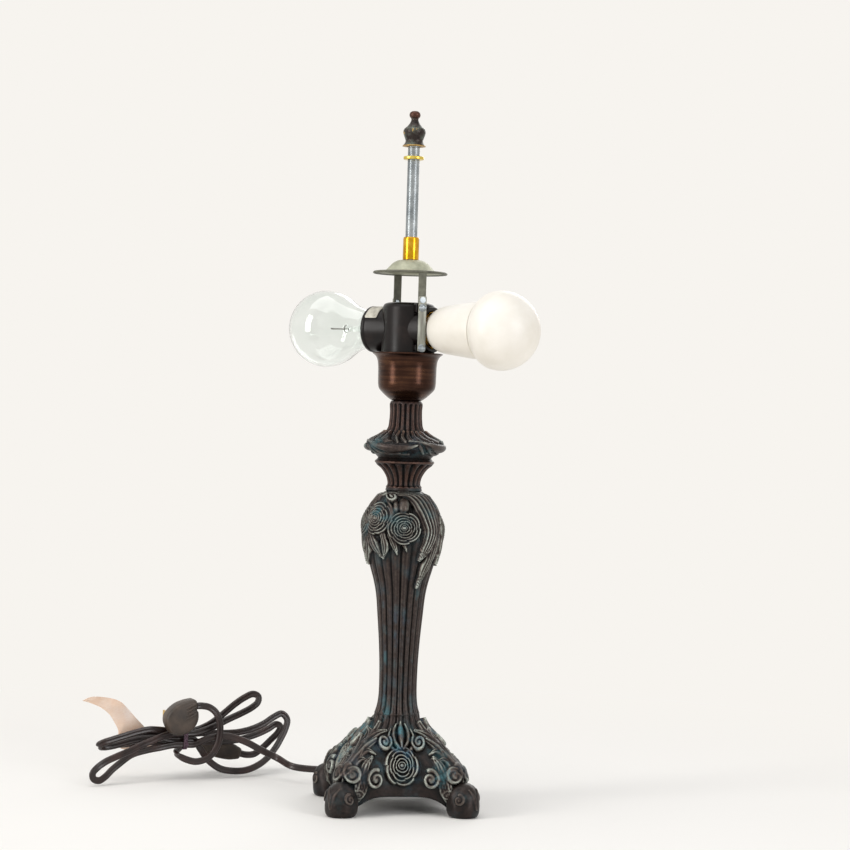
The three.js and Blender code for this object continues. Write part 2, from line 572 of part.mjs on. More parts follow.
// The switch lies between the hank and the tail. Its axis slopes down to the right.
const SWITCH = { u: 37.5, v: 17, z: 19.5, length: 36, height: 15.2, depth: 11.2, slope: 14 };
const SLOPED = [Math.cos(rad(SWITCH.slope)), 0, -Math.sin(rad(SWITCH.slope))];
const onSwitchAxis = (along) => [SWITCH.u + along * SLOPED[0], SWITCH.v, SWITCH.z + along * SLOPED[2]];
const SWITCH_REACH = SWITCH.length / 2;

// The cord enters the plug from the right, level.
const PLUG_ENTRY = [5.4, -16.2, 60];
const ahead = ([u, v, z], along) => [u + along, v, z];

const CORD_GAP = 0.3;
const LEAD_END = 158;
const HANK_STEP = 7.5;

// From the bushing to the switch, and from the switch to the plug.
const FIRST_ROUTE = [...LEAD_ROUTE.map((p) => new THREE.Vector3(...p)), ...[...LEAD_TO_BUNDLE,
  ...leftward(FRONT, FRONT.lower), ...TEARDROP_LOOP, ...rightward(FRONT, FRONT.upper), ...HIGH_LOOP,
  ...leftward(MIDDLE, MIDDLE.upper), ...LEFT_LOOP, ...rightward(MIDDLE, MIDDLE.lower), ...FLOOR_LOOP,
  ...leftward(REAR, REAR.upper), ...INNER_LEFT_LOOP, ...rightward(REAR, REAR.lower), ...LAST_LOOP,
  onSwitchAxis(SWITCH_REACH + 6), onSwitchAxis(SWITCH_REACH)].map(inBundle)];
const SECOND_ROUTE = [onSwitchAxis(-SWITCH_REACH), onSwitchAxis(-SWITCH_REACH - 6), ...FRONT_LOOP,
  ahead(PLUG_ENTRY, 5), PLUG_ENTRY].map(inBundle);

const curveThrough = (points) => new THREE.CatmullRomCurve3(points, false, 'centripetal');

// The direction of the cord's flat side, carried along the curve and drawn towards the bundle's plane.
function flatSides(curve, fine) {
  const length = curve.getLength();
  const sides = [];
  let wide = UPWARDS.clone();
  for (let at = 0; at <= length; at += fine) {
    const tangent = curve.getTangentAt(at / length);
    const inPlane = BEHIND.clone().cross(tangent);
    const pull = inPlane.length() > 0.6 ? 0.35 : 0;
    if (inPlane.dot(wide) < 0) inPlane.negate();
    wide = wide.clone().addScaledVector(tangent, -wide.dot(tangent)).normalize();
    wide.lerp(inPlane.normalize(), pull).addScaledVector(tangent, -wide.dot(tangent)).normalize();
    sides.push(wide);
  }
  return sides;
}

// Sections of the cord between two lengths of a curve.
function sections(curve, from, to, step) {
  const fine = 2;
  const sides = flatSides(curve, fine);
  const length = curve.getLength();
  const count = Math.round((to - from) / step);
  return Array.from({ length: count + 1 }, (_, i) => {
    const at = from + ((to - from) * i) / count;
    const tangent = curve.getTangentAt(at / length);
    const wide = sides[Math.min(sides.length - 1, Math.round(at / fine))].clone();
    wide.addScaledVector(tangent, -wide.dot(tangent)).normalize();
    return { at, point: curve.getPointAt(at / length), tangent, wide, thin: tangent.clone().cross(wide) };
  });
}

// A point on the skin of a section, at a share of the way round.
function skin({ point, wide, thin }, share) {
  const [x, y] = [Math.cos(share * 2 * Math.PI), Math.sin(share * 2 * Math.PI)];
  return point.clone().addScaledVector(wide, Math.sign(x) * Math.abs(x) ** 0.7 * (CORD_WIDTH / 2))
    .addScaledVector(thin, Math.sign(y) * Math.abs(y) ** 0.7 * (CORD_THICKNESS / 2));
}

// A flat cord's tube, as one closed surface of a few sides.
function cordTube(stations, sides) {
  const points = stations.flatMap((station) =>
    Array.from({ length: sides }, (_, k) => skin(station, k / sides).toArray()).flat());
  const index = [];
  for (let i = 0; i < stations.length - 1; i += 1) {
    for (let k = 0; k < sides; k += 1) {
      const [a, b] = [i * sides + k, i * sides + ((k + 1) % sides)];
      index.push(a, b, b + sides, a, b + sides, a + sides);
    }
  }
  const end = (stations.length - 1) * sides;
  for (let k = 1; k < sides - 1; k += 1) index.push(0, k + 1, k, end, end + k, end + k + 1);
  const geometry = new THREE.BufferGeometry();
  geometry.setAttribute('position', new THREE.BufferAttribute(new Float32Array(points), 3));
  geometry.setIndex(index);
  return outward(geometry);
}

// The least gap between strands of the cord, from points on one skin to the section of the other.
function leastGap(stations, apart) {
  let least = Infinity;
  stations.forEach((one) => {
    for (let k = 0; k < 12; k += 1) {
      const at = skin(one, k / 12);
      stations.forEach((other) => {
        if (one.strand === other.strand && Math.abs(other.at - one.at) < apart) return;
        const offset = at.clone().sub(other.point);
        if (Math.abs(offset.dot(other.tangent)) > 1.2) return;
        const x = Math.max(0, Math.abs(offset.dot(other.wide)) - CORD_WIDTH / 2);
        const y = Math.max(0, Math.abs(offset.dot(other.thin)) - CORD_THICKNESS / 2);
        least = Math.min(least, Math.hypot(x, y));
      });
    }
  });
  return least;
}

function freeCord() {
  const first = curveThrough(FIRST_ROUTE);
  const second = curveThrough(SECOND_ROUTE);
  const spans = [[first, 0, first.getLength() - CORD_GAP], [second, CORD_GAP, second.getLength()]];
  mesh('cord_lead', 'cord', cordTube(sections(first, 0, LEAD_END, 11), 8));
  mesh('cord_hank', 'cord', cordTube(sections(first, LEAD_END + CORD_GAP, spans[0][2], HANK_STEP), 6));
  mesh('cord_tail', 'cord', cordTube(sections(second, spans[1][1], spans[1][2], 7), 8));
  const strands = spans.flatMap(([curve, from, to], strand) =>
    sections(curve, from, to, 1.5).map((station) => ({ ...station, strand })));
  const length = first.getLength() + second.getLength() + SWITCH.length;
  const gap = leastGap(strands, 14);
  console.log(`cord ${length.toFixed(0)} mm long, least gap to itself ${gap.toFixed(2)} mm`);
}

// An outline in u and z, or in x and z, as a plate between two depths.
function upright(outline, near, far, holes = []) {
  const path = (points) => points.map(([x, z]) => new THREE.Vector2(x, z));
  const shape = new THREE.Shape(path(outline));
  holes.forEach((hole) => shape.holes.push(new THREE.Path(path(hole))));
  const geometry = new THREE.ExtrudeGeometry(shape, { depth: far - near, bevelEnabled: false });
  geometry.rotateX(Math.PI / 2);
  geometry.translate(0, far, 0);
  return outward(mergeVertices(geometry));
}

function intoBundle(geometry) {
  geometry.rotateZ(rad(BUNDLE_TURN));
  geometry.translate(WAIST.x, WAIST.y, 0);
  return geometry;
}

// The plug stands on edge, with its blades towards the back.
const PLUG_NEAR = -23;
const PLUG_FAR = -9.4;
const PLUG_OUTLINE = [[2.6, 66], [-3.2, 65.2], [-11, 62.6], [-17, 58], [-20.6, 52.6], [-20.8, 48], [-18.7,
  42.6],
  [-15, 37.6], [-7.3, 37], [-0.3, 39.4], [4.4, 44], [6.8, 50], [6.4, 55.6], [5.1, 57], [5.1, 63], [4.4, 65]];
const PLUG_CENTRE = [-8, 51];
const BLADES = { apart: 12.7, thick: 1.5, wide: 6.35, out: 17, within: 7 };

function plug() {
  const [middle, height] = PLUG_CENTRE;
  const shrunk = PLUG_OUTLINE.map(([u, z]) => [middle + (u - middle) * 0.9, height + (z - height) * 0.9]);
  const shell = joined(upright(PLUG_OUTLINE, PLUG_NEAR + 1.6, PLUG_FAR), upright(shrunk, PLUG_NEAR,
    PLUG_FAR));
  const depth = BLADES.out + BLADES.within;
  const centre = PLUG_FAR + BLADES.out - depth / 2;
  const at = [-1, 1].map((side) => middle + (side * BLADES.apart) / 2);
  const slots = at.map((u) => block(BLADES.thick + 0.6, depth + 0.6, BLADES.wide + 0.6, u, centre, height));
  mesh('plug_body', 'plug', intoBundle(cut(shell, ...slots)));
  at.forEach((u, i) => {
    const blade = block(BLADES.thick, depth, BLADES.wide, u, centre, height);
    mesh(['plug_blade_left', 'plug_blade_right'][i], 'brass', intoBundle(blade));
  });
}

// The inline switch: two housing halves, a thumbwheel and its pin. Local x is along the cord.
const WHEEL = { x: 2, z: 1.6, radius: 7.6, depth: 4, pin: 1.5, pinDepth: 7.2 };

function cordSwitch() {
  const group = new THREE.Group();
  const along = ALONG.clone().multiplyScalar(SLOPED[0]).addScaledVector(UPWARDS, SLOPED[2]);
  group.quaternion.setFromRotationMatrix(
    new THREE.Matrix4().makeBasis(along, BEHIND, along.clone().cross(BEHIND)));
  group.position.copy(inBundle(onSwitchAxis(0)));
  lamp.add(group);
  const [reach, half, deep] = [SWITCH_REACH, SWITCH.height / 2, SWITCH.depth / 2];
  const above = [[reach, 4.2], [reach - 4, 5.6], [reach - 9, half - 0.5], [0, half], [9 - reach, half - 0.5],
    [4 - reach, 5.6], [-reach, 4.2]];
  const outline = [...above, ...above.map(([x, z]) => [x, -z]).reverse()];
  const disc = (radius, depth, segments) => {
    const geometry = drum(radius, -depth / 2, depth / 2, segments);
    geometry.rotateX(Math.PI / 2);
    geometry.translate(WHEEL.x, 0, WHEEL.z);
    return geometry;
  };
  const rooms = [disc(WHEEL.radius + 0.5, WHEEL.depth + 1.2, 20), disc(WHEEL.pin + 0.3,
    WHEEL.pinDepth + 0.6, 12)];
  mesh('switch_housing_front', 'plug', cut(upright(outline, -deep, -CORD_GAP / 2), ...rooms), group);
  mesh('switch_housing_back', 'plug', cut(upright(outline, CORD_GAP / 2, deep), ...rooms), group);
  mesh('switch_wheel', 'black', cut(disc(WHEEL.radius, WHEEL.depth, 20), disc(WHEEL.pin + 0.3, 12, 12)),
    group);
  mesh('switch_pin', 'steel', disc(WHEEL.pin, WHEEL.pinDepth, 12), group);
}

// The twist tie round the waist, with its two twisted ends.
function twistTie() {
  const [low, high] = [FRONT.lower - CORD_WIDTH / 2 - 0.5, MIDDLE.upper + CORD_WIDTH / 2 + 0.5];
  const [near, far] = [FRONT.v - CORD_THICKNESS / 2 - 0.5, REAR.v + CORD_THICKNESS / 2 + 0.5];
  const rounded = (grow) => {
    const [l, h, n, f, c] = [low - grow, high + grow, near - grow, far + grow, 1.6];
    return [[n + c, l], [f - c, l], [f, l + c], [f, h - c], [f - c, h], [n + c, h], [n, h - c], [n, l + c]];
  };
  const band = upright(rounded(0.8), -1.8, 1.8, [rounded(0)]);
  const tie = joined(band, block(1.4, 1.8, 9, near - 1.2, 0, low + 3));
  tie.rotateZ(Math.PI / 2);
  tie.scale(-1, 1, 1);
  mesh('twist_tie', 'plug', intoBundle(outward(tie)));
}

// The blank paper tag: a strip that stands up behind the left loops.
const TAG_DEPTH = [11.4, 11.8];
const TAG_OUTLINE = [[-82.9, 63.4], [-76, 66.2], [-62.8, 65.3], [-51, 61.8], [-42.4, 54.3], [-34.6, 46],
  [-27.7, 39.2], [-22.4, 32.5], [-19, 26.5], [-24, 21], [-49.8, 22], [-51.7, 28.5], [-49.9, 36.6], [-53.8,
    44],
  [-58.2, 50.6], [-65.9, 56.5], [-75.1, 60.7]];

function paperTag() {
  mesh('paper_tag', 'paper', intoBundle(upright(TAG_OUTLINE, ...TAG_DEPTH)));
}

// The bushing that the cord leaves the base by, and the run inside the base and the pipe.
const BUSHING_LINE = [[3.9, 36], [5.2, 36], [5.2, 46.2], [7.4, 46.2], [7.4, 48.6], [5.4, 50], [4.6, 58.6],
  [3.9, 58.6]];
const INNER_ROUTE = [[0, 58.6, 24], [0, 46, 24], [0, 34, 24], [0, 22, 26], [0, 9, 32], [0, 1.5, 42], [0, 0,
  54],
  [0, 0, 90], [0, 0, 200], [0, 0, 341]];

function bushingAndInnerCord() {
  const bushing = turned(closedLoop(BUSHING_LINE), 16);
  bushing.rotateX(-Math.PI / 2);
  bushing.translate(0, 0, CORD_EXIT_HEIGHT);
  mesh('cord_bushing', 'plug', bushing);
  const shape = new THREE.Shape();
  shape.absarc(0, 0, 2.3, 0, Math.PI * 2, false);
  const extrudePath = curveThrough(INNER_ROUTE.map((p) => new THREE.Vector3(...p)));
  const wires = new THREE.ExtrudeGeometry(shape, { extrudePath, steps: 28, curveSegments: 4 });
  mesh('inner_cord', 'cord', outward(mergeVertices(wires)));
}

bushingAndInnerCord();
freeCord();
plug();
cordSwitch();
twistTie();
paperTag();
castings();
centrePipe();
socketCup();
clusterBody();
clusterLabel();
clusterBracket();
domeCap();
shadeRod();
finial();
lampHolders();
bulbs();

export default lamp;
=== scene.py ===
# %% [markdown]
# A cast bronze-finish table lamp with two bulbs, seen a little from the left, with its brown
# flat cord tied in a bundle beside it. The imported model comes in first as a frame: its bodies
# say what moves with what, and every piece below is fitted round them, in metres.

# %% Load the frame
import math
import bmesh
import bpy
import numpy as np
from mathutils import Matrix, Vector


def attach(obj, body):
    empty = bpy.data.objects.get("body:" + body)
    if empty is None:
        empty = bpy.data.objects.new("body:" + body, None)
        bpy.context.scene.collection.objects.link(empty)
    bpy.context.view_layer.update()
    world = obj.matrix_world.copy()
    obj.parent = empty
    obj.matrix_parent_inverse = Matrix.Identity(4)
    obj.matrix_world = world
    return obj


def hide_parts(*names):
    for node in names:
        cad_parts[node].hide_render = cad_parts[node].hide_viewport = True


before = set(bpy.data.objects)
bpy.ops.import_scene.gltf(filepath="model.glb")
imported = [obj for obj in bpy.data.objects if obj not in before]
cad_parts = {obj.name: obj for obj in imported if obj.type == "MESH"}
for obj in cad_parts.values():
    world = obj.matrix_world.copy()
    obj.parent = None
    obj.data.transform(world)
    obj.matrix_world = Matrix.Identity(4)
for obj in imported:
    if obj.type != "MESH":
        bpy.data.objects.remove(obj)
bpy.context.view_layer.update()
MM = 0.001

# %% [markdown]
# The camera stands at the photograph's place: a long lens a little above the middle of the
# lamp and to its left, almost level. A camera matrix needs three axes, so the view's right and
# up directions are worked out from its turn, its tip and its roll.

# %% Camera
CAMERA = {"turn": -8.29, "distance": 1.8, "height": 0.3142, "aside": 0.0149, "tip": 0.64, "roll": 1.75}
FOCAL_PIXELS = 2339
PICTURE = 850
SENSOR = 36.0


def place_camera(turn, distance, height, aside, tip, roll):
    a, p, r = math.radians(turn), math.radians(tip), math.radians(roll)
    right = Vector((math.cos(a), math.sin(a), 0))
    level = Vector((-math.sin(a), math.cos(a), 0))
    up = Vector((0, 0, 1))
    forward = level * math.cos(p) - up * math.sin(p)
    tipped = up * math.cos(p) + level * math.sin(p)
    x = right * math.cos(r) + tipped * math.sin(r)
    y = tipped * math.cos(r) - right * math.sin(r)
    matrix = Matrix((x, y, -forward)).transposed().to_4x4()
    matrix.translation = -level * distance + right * aside + up * height
    data = bpy.data.cameras.new("camera")
    data.lens = FOCAL_PIXELS / PICTURE * SENSOR
    data.sensor_width = SENSOR
    data.clip_end = 100
    camera = bpy.data.objects.new("camera", data)
    camera.matrix_world = matrix
    bpy.context.collection.objects.link(camera)
    return camera


bpy.context.scene.camera = place_camera(**CAMERA)
bpy.context.scene.view_settings.view_transform = "Standard"
print("camera", bpy.context.scene.camera.location)

# %% [markdown]
# Pieces are meshes of points and faces that already stand in their place. Two kinds of surface
# make most of the lamp: a grid that closes on itself round an axis, and a turned outline.

# %% Mesh helpers
ALL_PIECES = {}


def piece(name, points, faces, smooth=True, sharp=None):
    """A mesh object from points in metres, with an angle above which edges stay sharp."""
    mesh = bpy.data.meshes.new(name)
    mesh.from_pydata([tuple(p) for p in points], [], [tuple(f) for f in faces])
    mesh.validate()
    mesh.update()
    if smooth:
        mesh.shade_smooth()
        if sharp:
            mesh.set_sharp_from_angle(angle=math.radians(sharp))
    made = bpy.data.objects.new(name, mesh)
    bpy.context.collection.objects.link(made)
    ALL_PIECES[name] = made
    return made


def grid_faces(rows, columns, first=0):
    """Quads of a grid that closes on itself along its columns."""
    i, j = np.meshgrid(np.arange(rows - 1), np.arange(columns), indexing="ij")
    k = (j + 1) % columns
    quads = np.stack([i * columns + j, i * columns + k, (i + 1) * columns + k, (i + 1) * columns + j], -1)
    return [list(q) for q in quads.reshape(-1, 4) + first]


def turned(outline, segments):
    """Points and faces of a closed outline of (radius, height) in mm, turned round the Z axis."""
    points, faces, ring = [], [], []
    for radius, height in outline:
        if radius < 1e-6:
            ring.append([len(points)])
            points.append((0, 0, height * MM))
            continue
        ring.append(list(range(len(points), len(points) + segments)))
        for i in range(segments):
            a = 2 * math.pi * i / segments
            points.append((radius * MM * math.cos(a), radius * MM * math.sin(a), height * MM))
    for low, high in zip(ring, ring[1:] + ring[:1]):
        for i in range(segments):
            j = (i + 1) % segments
            quad = [low[i % len(low)], low[j % len(low)], high[j % len(high)], high[i % len(high)]]
            quad = [v for n, v in enumerate(quad) if v not in quad[:n]]
            if len(quad) > 2:
                faces.append(quad)
    return points, faces


def outward(obj):
    """Turns the faces of a closed mesh to point outwards."""
    work = bmesh.new()
    work.from_mesh(obj.data)
    bmesh.ops.remove_doubles(work, verts=work.verts, dist=1e-7)
    bmesh.ops.recalc_face_normals(work, faces=work.faces)
    work.to_mesh(obj.data)
    work.free()
    return obj


def moved(points, matrix):
    return [matrix @ Vector(p) for p in points]


def sheet_faces(rows, columns):
    """Faces of a thin sheet whose two sides are grids of points, closed along its border."""
    faces, size = [], rows * columns
    for i in range(rows - 1):
        for k in range(columns - 1):
            a = i * columns + k
            quad = [a, a + 1, a + columns + 1, a + columns]
            faces += [quad, [v + size for v in reversed(quad)]]
    border = [i * columns for i in range(rows)]
    border += [(rows - 1) * columns + k for k in range(1, columns)]
    border += [i * columns + columns - 1 for i in reversed(range(rows - 1))]
    border += list(reversed(range(1, columns - 1)))
    faces += [[a, b, b + size, a + size] for a, b in zip(border, border[1:] + border[:1])]
    return faces


def rounded(outline, radius, steps=3):
    """The same closed outline with its corners rounded by short arcs."""
    smooth = []
    count = len(outline)
    for i in range(count):
        before, here, after = (Vector(outline[(i + k) % count]) for k in (-1, 0, 1))
        back, ahead = before - here, after - here
        reach = min(radius, back.length * 0.45, ahead.length * 0.45)
        start, end = here + back.normalized() * reach, here + ahead.normalized() * reach
        for k in range(steps + 1):
            t = k / steps
            smooth.append(tuple(start * (1 - t) ** 2 + here * (2 * t * (1 - t)) + end * t * t))
    return smooth


# %% [markdown]
# Shader maths reads best as ordinary expressions. The class below wraps a socket, so that
# mask * 0.5 + noise adds the Math nodes by itself. Colours go through Mix nodes instead,
# because a Math node would turn them grey.

# %% Shader helpers


class Value:
    """A socket of a material's node tree, with the usual operators."""

    def __init__(self, paint, socket):
        self.paint = paint
        self.socket = socket

    def maths(self, operation, *others):
        return self.paint.node("ShaderNodeMath", {"operation": operation}, [self, *others])

    def __add__(self, other):
        return self.maths("ADD", other)

    def __sub__(self, other):
        return self.maths("SUBTRACT", other)

    def __mul__(self, other):
        return self.maths("MULTIPLY", other)

    def __rsub__(self, other):
        return self.paint.node("ShaderNodeMath", {"operation": "SUBTRACT"}, [other, self])

    __radd__ = __add__
    __rmul__ = __mul__

    def clamped(self):
        return self.paint.node("ShaderNodeClamp", {}, [self])

    def ramp(self, low, high):
        """0 below low, 1 above high, smooth between."""
        return self.paint.node("ShaderNodeMapRange", {"interpolation_type": "SMOOTHSTEP"},
                               [self, low, high, 0.0, 1.0])


class Paint:
    """A Principled material that is built up node by node."""

    def __init__(self, name, **constant):
        self.material = bpy.data.materials.new(name)
        self.material.use_nodes = True
        self.tree = self.material.node_tree
        self.shader = self.tree.nodes["Principled BSDF"]
        self.set(**constant)

    def set(self, **sockets):
        for name, value in sockets.items():
            self.fill(self.shader.inputs[name.replace("_", " ")], value)
        return self

    def fill(self, socket, value):
        """Links a Value to a socket, or writes a colour or a number into it."""
        if isinstance(value, Value):
            self.tree.links.new(value.socket, socket)
        elif isinstance(value, tuple) and len(value) == 3 and socket.type == "RGBA":
            socket.default_value = (*value, 1)
        else:
            socket.default_value = value

    def node(self, kind, settings, inputs, output=0):
        """Any node: its settings first, then its inputs by order or by name."""
        made = self.tree.nodes.new(kind)
        for name, value in settings.items():
            if name == "stops":
                ramp = made.color_ramp
                while len(ramp.elements) < len(value):
                    ramp.elements.new(0.5)
                for element, (at, colour) in zip(ramp.elements, value):
                    element.position = at
                    element.color = (*colour, 1)
            else:
                setattr(made, name, value)
        pairs = inputs.items() if isinstance(inputs, dict) else enumerate(inputs)
        for key, value in pairs:
            self.fill(made.inputs[key], value)
        return Value(self, made.outputs[output])

    def place(self):
        return self.node("ShaderNodeTexCoord", {}, [], "Object")

    def noise(self, scale, detail=4.0, stretch=None, roughness=0.55):
        where = self.place()
        if stretch:
            where = self.node("ShaderNodeMapping", {}, {"Vector": where, "Scale": stretch})
        return self.node("ShaderNodeTexNoise", {}, {"Vector": where, "Scale": scale, "Detail": detail,
                                                    "Roughness": roughness})

    def attribute(self, name):
        return self.node("ShaderNodeAttribute", {"attribute_name": name}, [], "Fac")

    def colours(self, factor, stops):
        return self.node("ShaderNodeValToRGB", {"stops": stops}, [factor])

    def mix(self, factor, a, b):
        inputs = {0: factor, 6: a, 7: b}
        return self.node("ShaderNodeMix", {"data_type": "RGBA"}, inputs, 2)

    def bump(self, height, strength, distance=0.001):
        normal = self.node("ShaderNodeBump", {}, {"Height": height, "Strength": strength,
            "Distance": distance})
        return self.set(Normal=normal)


def tone(code):
    """A colour written as it looks, such as 3a3533, in the linear numbers that shaders use."""
    parts = [int(code[i:i + 2], 16) / 255 for i in (0, 2, 4)]
    return tuple(p / 12.92 if p <= 0.04045 else ((p + 0.055) / 1.055) ** 2.4 for p in parts)


def dress(obj, paint, body, slot_name, *nodes):
    """Gives a finished piece its material and its body, and hides the CAD nodes it stands for. slot_name is
    not used.
    """
    obj.data.materials.clear()
    obj.data.materials.append(paint.material)
    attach(obj, body)
    if nodes:
        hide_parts(*nodes)
    return obj


def repaint(paint, *names):
    """A CAD node keeps its shape and takes a better material."""
    for name in names:
        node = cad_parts[name]
        node.data.materials.clear()
        node.data.materials.append(paint.material)


print("helpers ready")

# %% [markdown]
# The cord is flat, two conductors side by side, and it shows from the base to the plug. Its
# route is a list of points given in the bundle's own frame: u runs to the right, v
# away from the viewer and z up. A spline through them gives a smooth line, and the section is
# carried along it so that the flat side follows the plane of the loops.

# %% The bundle's frame and the cord's points
CORD_WIDTH = 5.6
CORD_THICK = 2.9
WAIST = Vector((-158, 128, 0))
BUNDLE_TURN = 15
ALONG = Vector((math.cos(math.radians(BUNDLE_TURN)), math.sin(math.radians(BUNDLE_TURN)), 0))
BEHIND = Vector((-ALONG.y, ALONG.x, 0))
UP = Vector((0, 0, 1))


def in_bundle(u, v, z):
    return WAIST + ALONG * u + BEHIND * v + UP * z


FRONT, MIDDLE, REAR = (-6, 36.6, 27.4), (-2, 38, 30.4), (2, 34.8, 27.6)


def leftward(v, z):
    return [(9, v, z), (0, v, z), (-9, v, z)]


def rightward(v, z):
    return [(-9, v, z), (0, v, z), (9, v, z)]


LEAD = [(0, 59, 24), (0, 65, 24), (-4, 77, 22), (-17, 87, 17.5), (-35, 93, 13), (-54, 98, 12),
        (-70, 102, 13.5)]
LEAD_IN = [(72, -27, 17.6), (59, -23, 24), (50, -19.5, 29), (41, -16.5, 32.6), (32, -14, 34.6),
           (22, -11.5, 33.6),
           (14, -9, 30.5)]
TEARDROP = [(-21, -6.5, 25.6), (-33, -9, 24.2), (-46, -12.5, 21.6), (-57, -17, 15.8), (-64.5, -20, 11),
            (-70.5, -23, 6.4), (-76.5, -26, 4), (-81.5, -28, 6), (-82.5, -29, 10.4), (-78.6, -29, 15),
            (-72, -27, 18.8), (-61.5, -23, 22.2), (-50.7, -18.5, 25.2), (-40, -14, 28.8), (-28, -10.5, 32.4),
            (-19, -8, 35)]
HIGH = [(17, -6.3, 38.8), (25.5, -6.4, 42), (36.5, -6.2, 47), (48, -6, 51.8), (57, -5.6, 56.2),
        (62.4, -4.6, 60.4),
        (63, -3.2, 65), (58.6, -2.2, 66.8), (51.4, -1.6, 63.8), (43.8, -1.2, 58.8), (36.8, -1, 53.2),
        (29.6, -1.2, 47.6), (21, -1.5, 42.2)]
LEFT = [(-17.5, -2.6, 39), (-29, -3.6, 40), (-40, -5, 38.4), (-52, -6.6, 35.6), (-62, -8, 33.2),
        (-68, -8.6, 31.6),
        (-71.4, -6.8, 29.6), (-70.6, -3.2, 27.4), (-65.4, -0.9, 26.6), (-58, -0.6, 27.4), (-50, -0.6, 29.2),
        (-39, -0.6, 31.6), (-28, -1, 32.4), (-17, -1.6, 31.8)]
FLOOR_LOOP = [(14.5, -2.6, 23), (20.5, -5.6, 14), (29.5, -9.6, 7.4), (41, -11, 5.2), (53, -9, 5.4),
              (64.5, -5, 8.6), (73.2, -1, 13.2), (81.4, 3, 20.6), (87.4, 6, 28.4), (92, 8.5, 36),
              (93.8, 10, 43),
              (89.4, 11, 48), (81.6, 10.5, 45.2), (74, 9.5, 40.8), (63.5, 8, 36.8), (51.5, 6.5, 34.4),
              (39.6, 5.2, 34), (27.7, 4, 34.6), (17, 2.8, 35)]
INNER_LEFT = [(-16, 2.4, 35.2), (-27, 2.8, 35.3), (-38, 3, 34.6), (-47.6, 2.8, 32.6), (-54, 3.2, 30.8),
              (-58, 5, 29.2), (-56.6, 8, 27.4), (-51.4, 8.8, 26.8), (-44, 8, 27.2), (-35, 6.6, 28.2),
              (-26, 4.8, 28.6), (-17, 3, 28)]
LAST = [(17, 3.4, 27.8), (28.4, 5.6, 27.4), (41, 8.4, 27), (53, 11, 27.6), (62.3, 12.6, 29.4),
        (71.6, 14.2, 32),
        (80.6, 15.8, 35.6), (86.4, 17.2, 38.4), (91, 18.6, 36.4), (89.4, 19.2, 31.4), (82.4, 19, 24.6),
        (75, 18.2, 18.4), (68, 17.4, 14)]
TO_PLUG = [(4.6, 11.4, 24.6), (-1.6, 6, 21.8), (-5.6, 0, 20.6), (-7.2, -6, 20.2), (-5.8, -11.4, 18.8),
           (-1, -15, 16.6),
           (6, -17.2, 15), (13.6, -18.6, 16.8), (20, -19.2, 21.8), (24, -19.6, 29.6), (25.4, -19.6, 39),
           (24.6, -19.6, 48), (21.2, -19.2, 55), (16, -18.2, 59)]
SWITCH = {"u": 37.5, "v": 17, "z": 19.5, "length": 36, "height": 15.2, "depth": 11.2, "slope": 14}
PLUG_ENTRY = (5.4, -16.2, 60)


def on_switch(along):
    slope = math.radians(SWITCH["slope"])
    return (SWITCH["u"] + along * math.cos(slope), SWITCH["v"], SWITCH["z"] - along * math.sin(slope))


half_switch = SWITCH["length"] / 2
to_switch = [Vector(p) for p in LEAD] + [in_bundle(*p) for p in [
    *LEAD_IN, *leftward(FRONT[0], FRONT[2]), *TEARDROP, *rightward(FRONT[0], FRONT[1]), *HIGH,
    *leftward(MIDDLE[0], MIDDLE[1]), *LEFT, *rightward(MIDDLE[0], MIDDLE[2]), *FLOOR_LOOP,
    *leftward(REAR[0], REAR[1]), *INNER_LEFT, *rightward(REAR[0], REAR[2]), *LAST,
    on_switch(half_switch + 6), on_switch(half_switch)]]
to_plug = [in_bundle(*p) for p in [on_switch(-half_switch), on_switch(-half_switch - 6), *TO_PLUG,
                                   (PLUG_ENTRY[0] + 5, *PLUG_ENTRY[1:]), PLUG_ENTRY]]
print("cord points", len(to_switch) + len(to_plug))

# %% [markdown]
# A spline through the points is cut into even steps. At each step the cord's width is carried
# on from the step before and drawn a little into the plane of the loops.

# %% A smooth line through points


def smooth_line(points, step=1.5):
    """Points at an even step along a centripetal spline."""
    ends = [points[0] * 2 - points[1], *points, points[-1] * 2 - points[-2]]
    line = []
    for p0, p1, p2, p3 in zip(ends, ends[1:], ends[2:], ends[3:]):
        d0, d1, d2 = ((b - a).length ** 0.5 for a, b in ((p0, p1), (p1, p2), (p2, p3)))
        t1 = ((p1 - p0) / d0 - (p2 - p0) / (d0 + d1) + (p2 - p1) / d1) * d1
        t2 = ((p2 - p1) / d1 - (p3 - p1) / (d1 + d2) + (p3 - p2) / d2) * d1
        for k in range(16):
            t = k / 16
            line.append(p1 + t1 * t + (p2 * 3 - p1 * 3 - t1 * 2 - t2) * t ** 2
                        + (p1 * 2 - p2 * 2 + t1 + t2) * t ** 3)
    line.append(points[-1])
    dense = np.array([tuple(p) for p in line])
    run = np.concatenate([[0], np.cumsum(np.linalg.norm(np.diff(dense, axis=0), axis=1))])
    at = np.linspace(0, run[-1], max(2, round(run[-1] / step)) + 1)
    return [Vector([np.interp(s, run, dense[:, axis]) for axis in range(3)]) for s in at], run[-1]


def flat_side(line):
    """Direction of the cord's width at each point: carried along, and drawn into the loops' plane."""
    wide, sides = UP.copy(), []
    for i in range(len(line)):
        tangent = (line[min(i + 1, len(line) - 1)] - line[max(i - 1, 0)]).normalized()
        plane = BEHIND.cross(tangent)
        pull = 0.28 if plane.length > 0.6 else 0
        if plane.dot(wide) < 0:
            plane.negate()
        wide = (wide - tangent * wide.dot(tangent)).normalized()
        wide = wide.lerp(plane.normalized(), pull)
        wide = (wide - tangent * wide.dot(tangent)).normalized()
        sides.append((tangent, wide.copy()))
    return sides


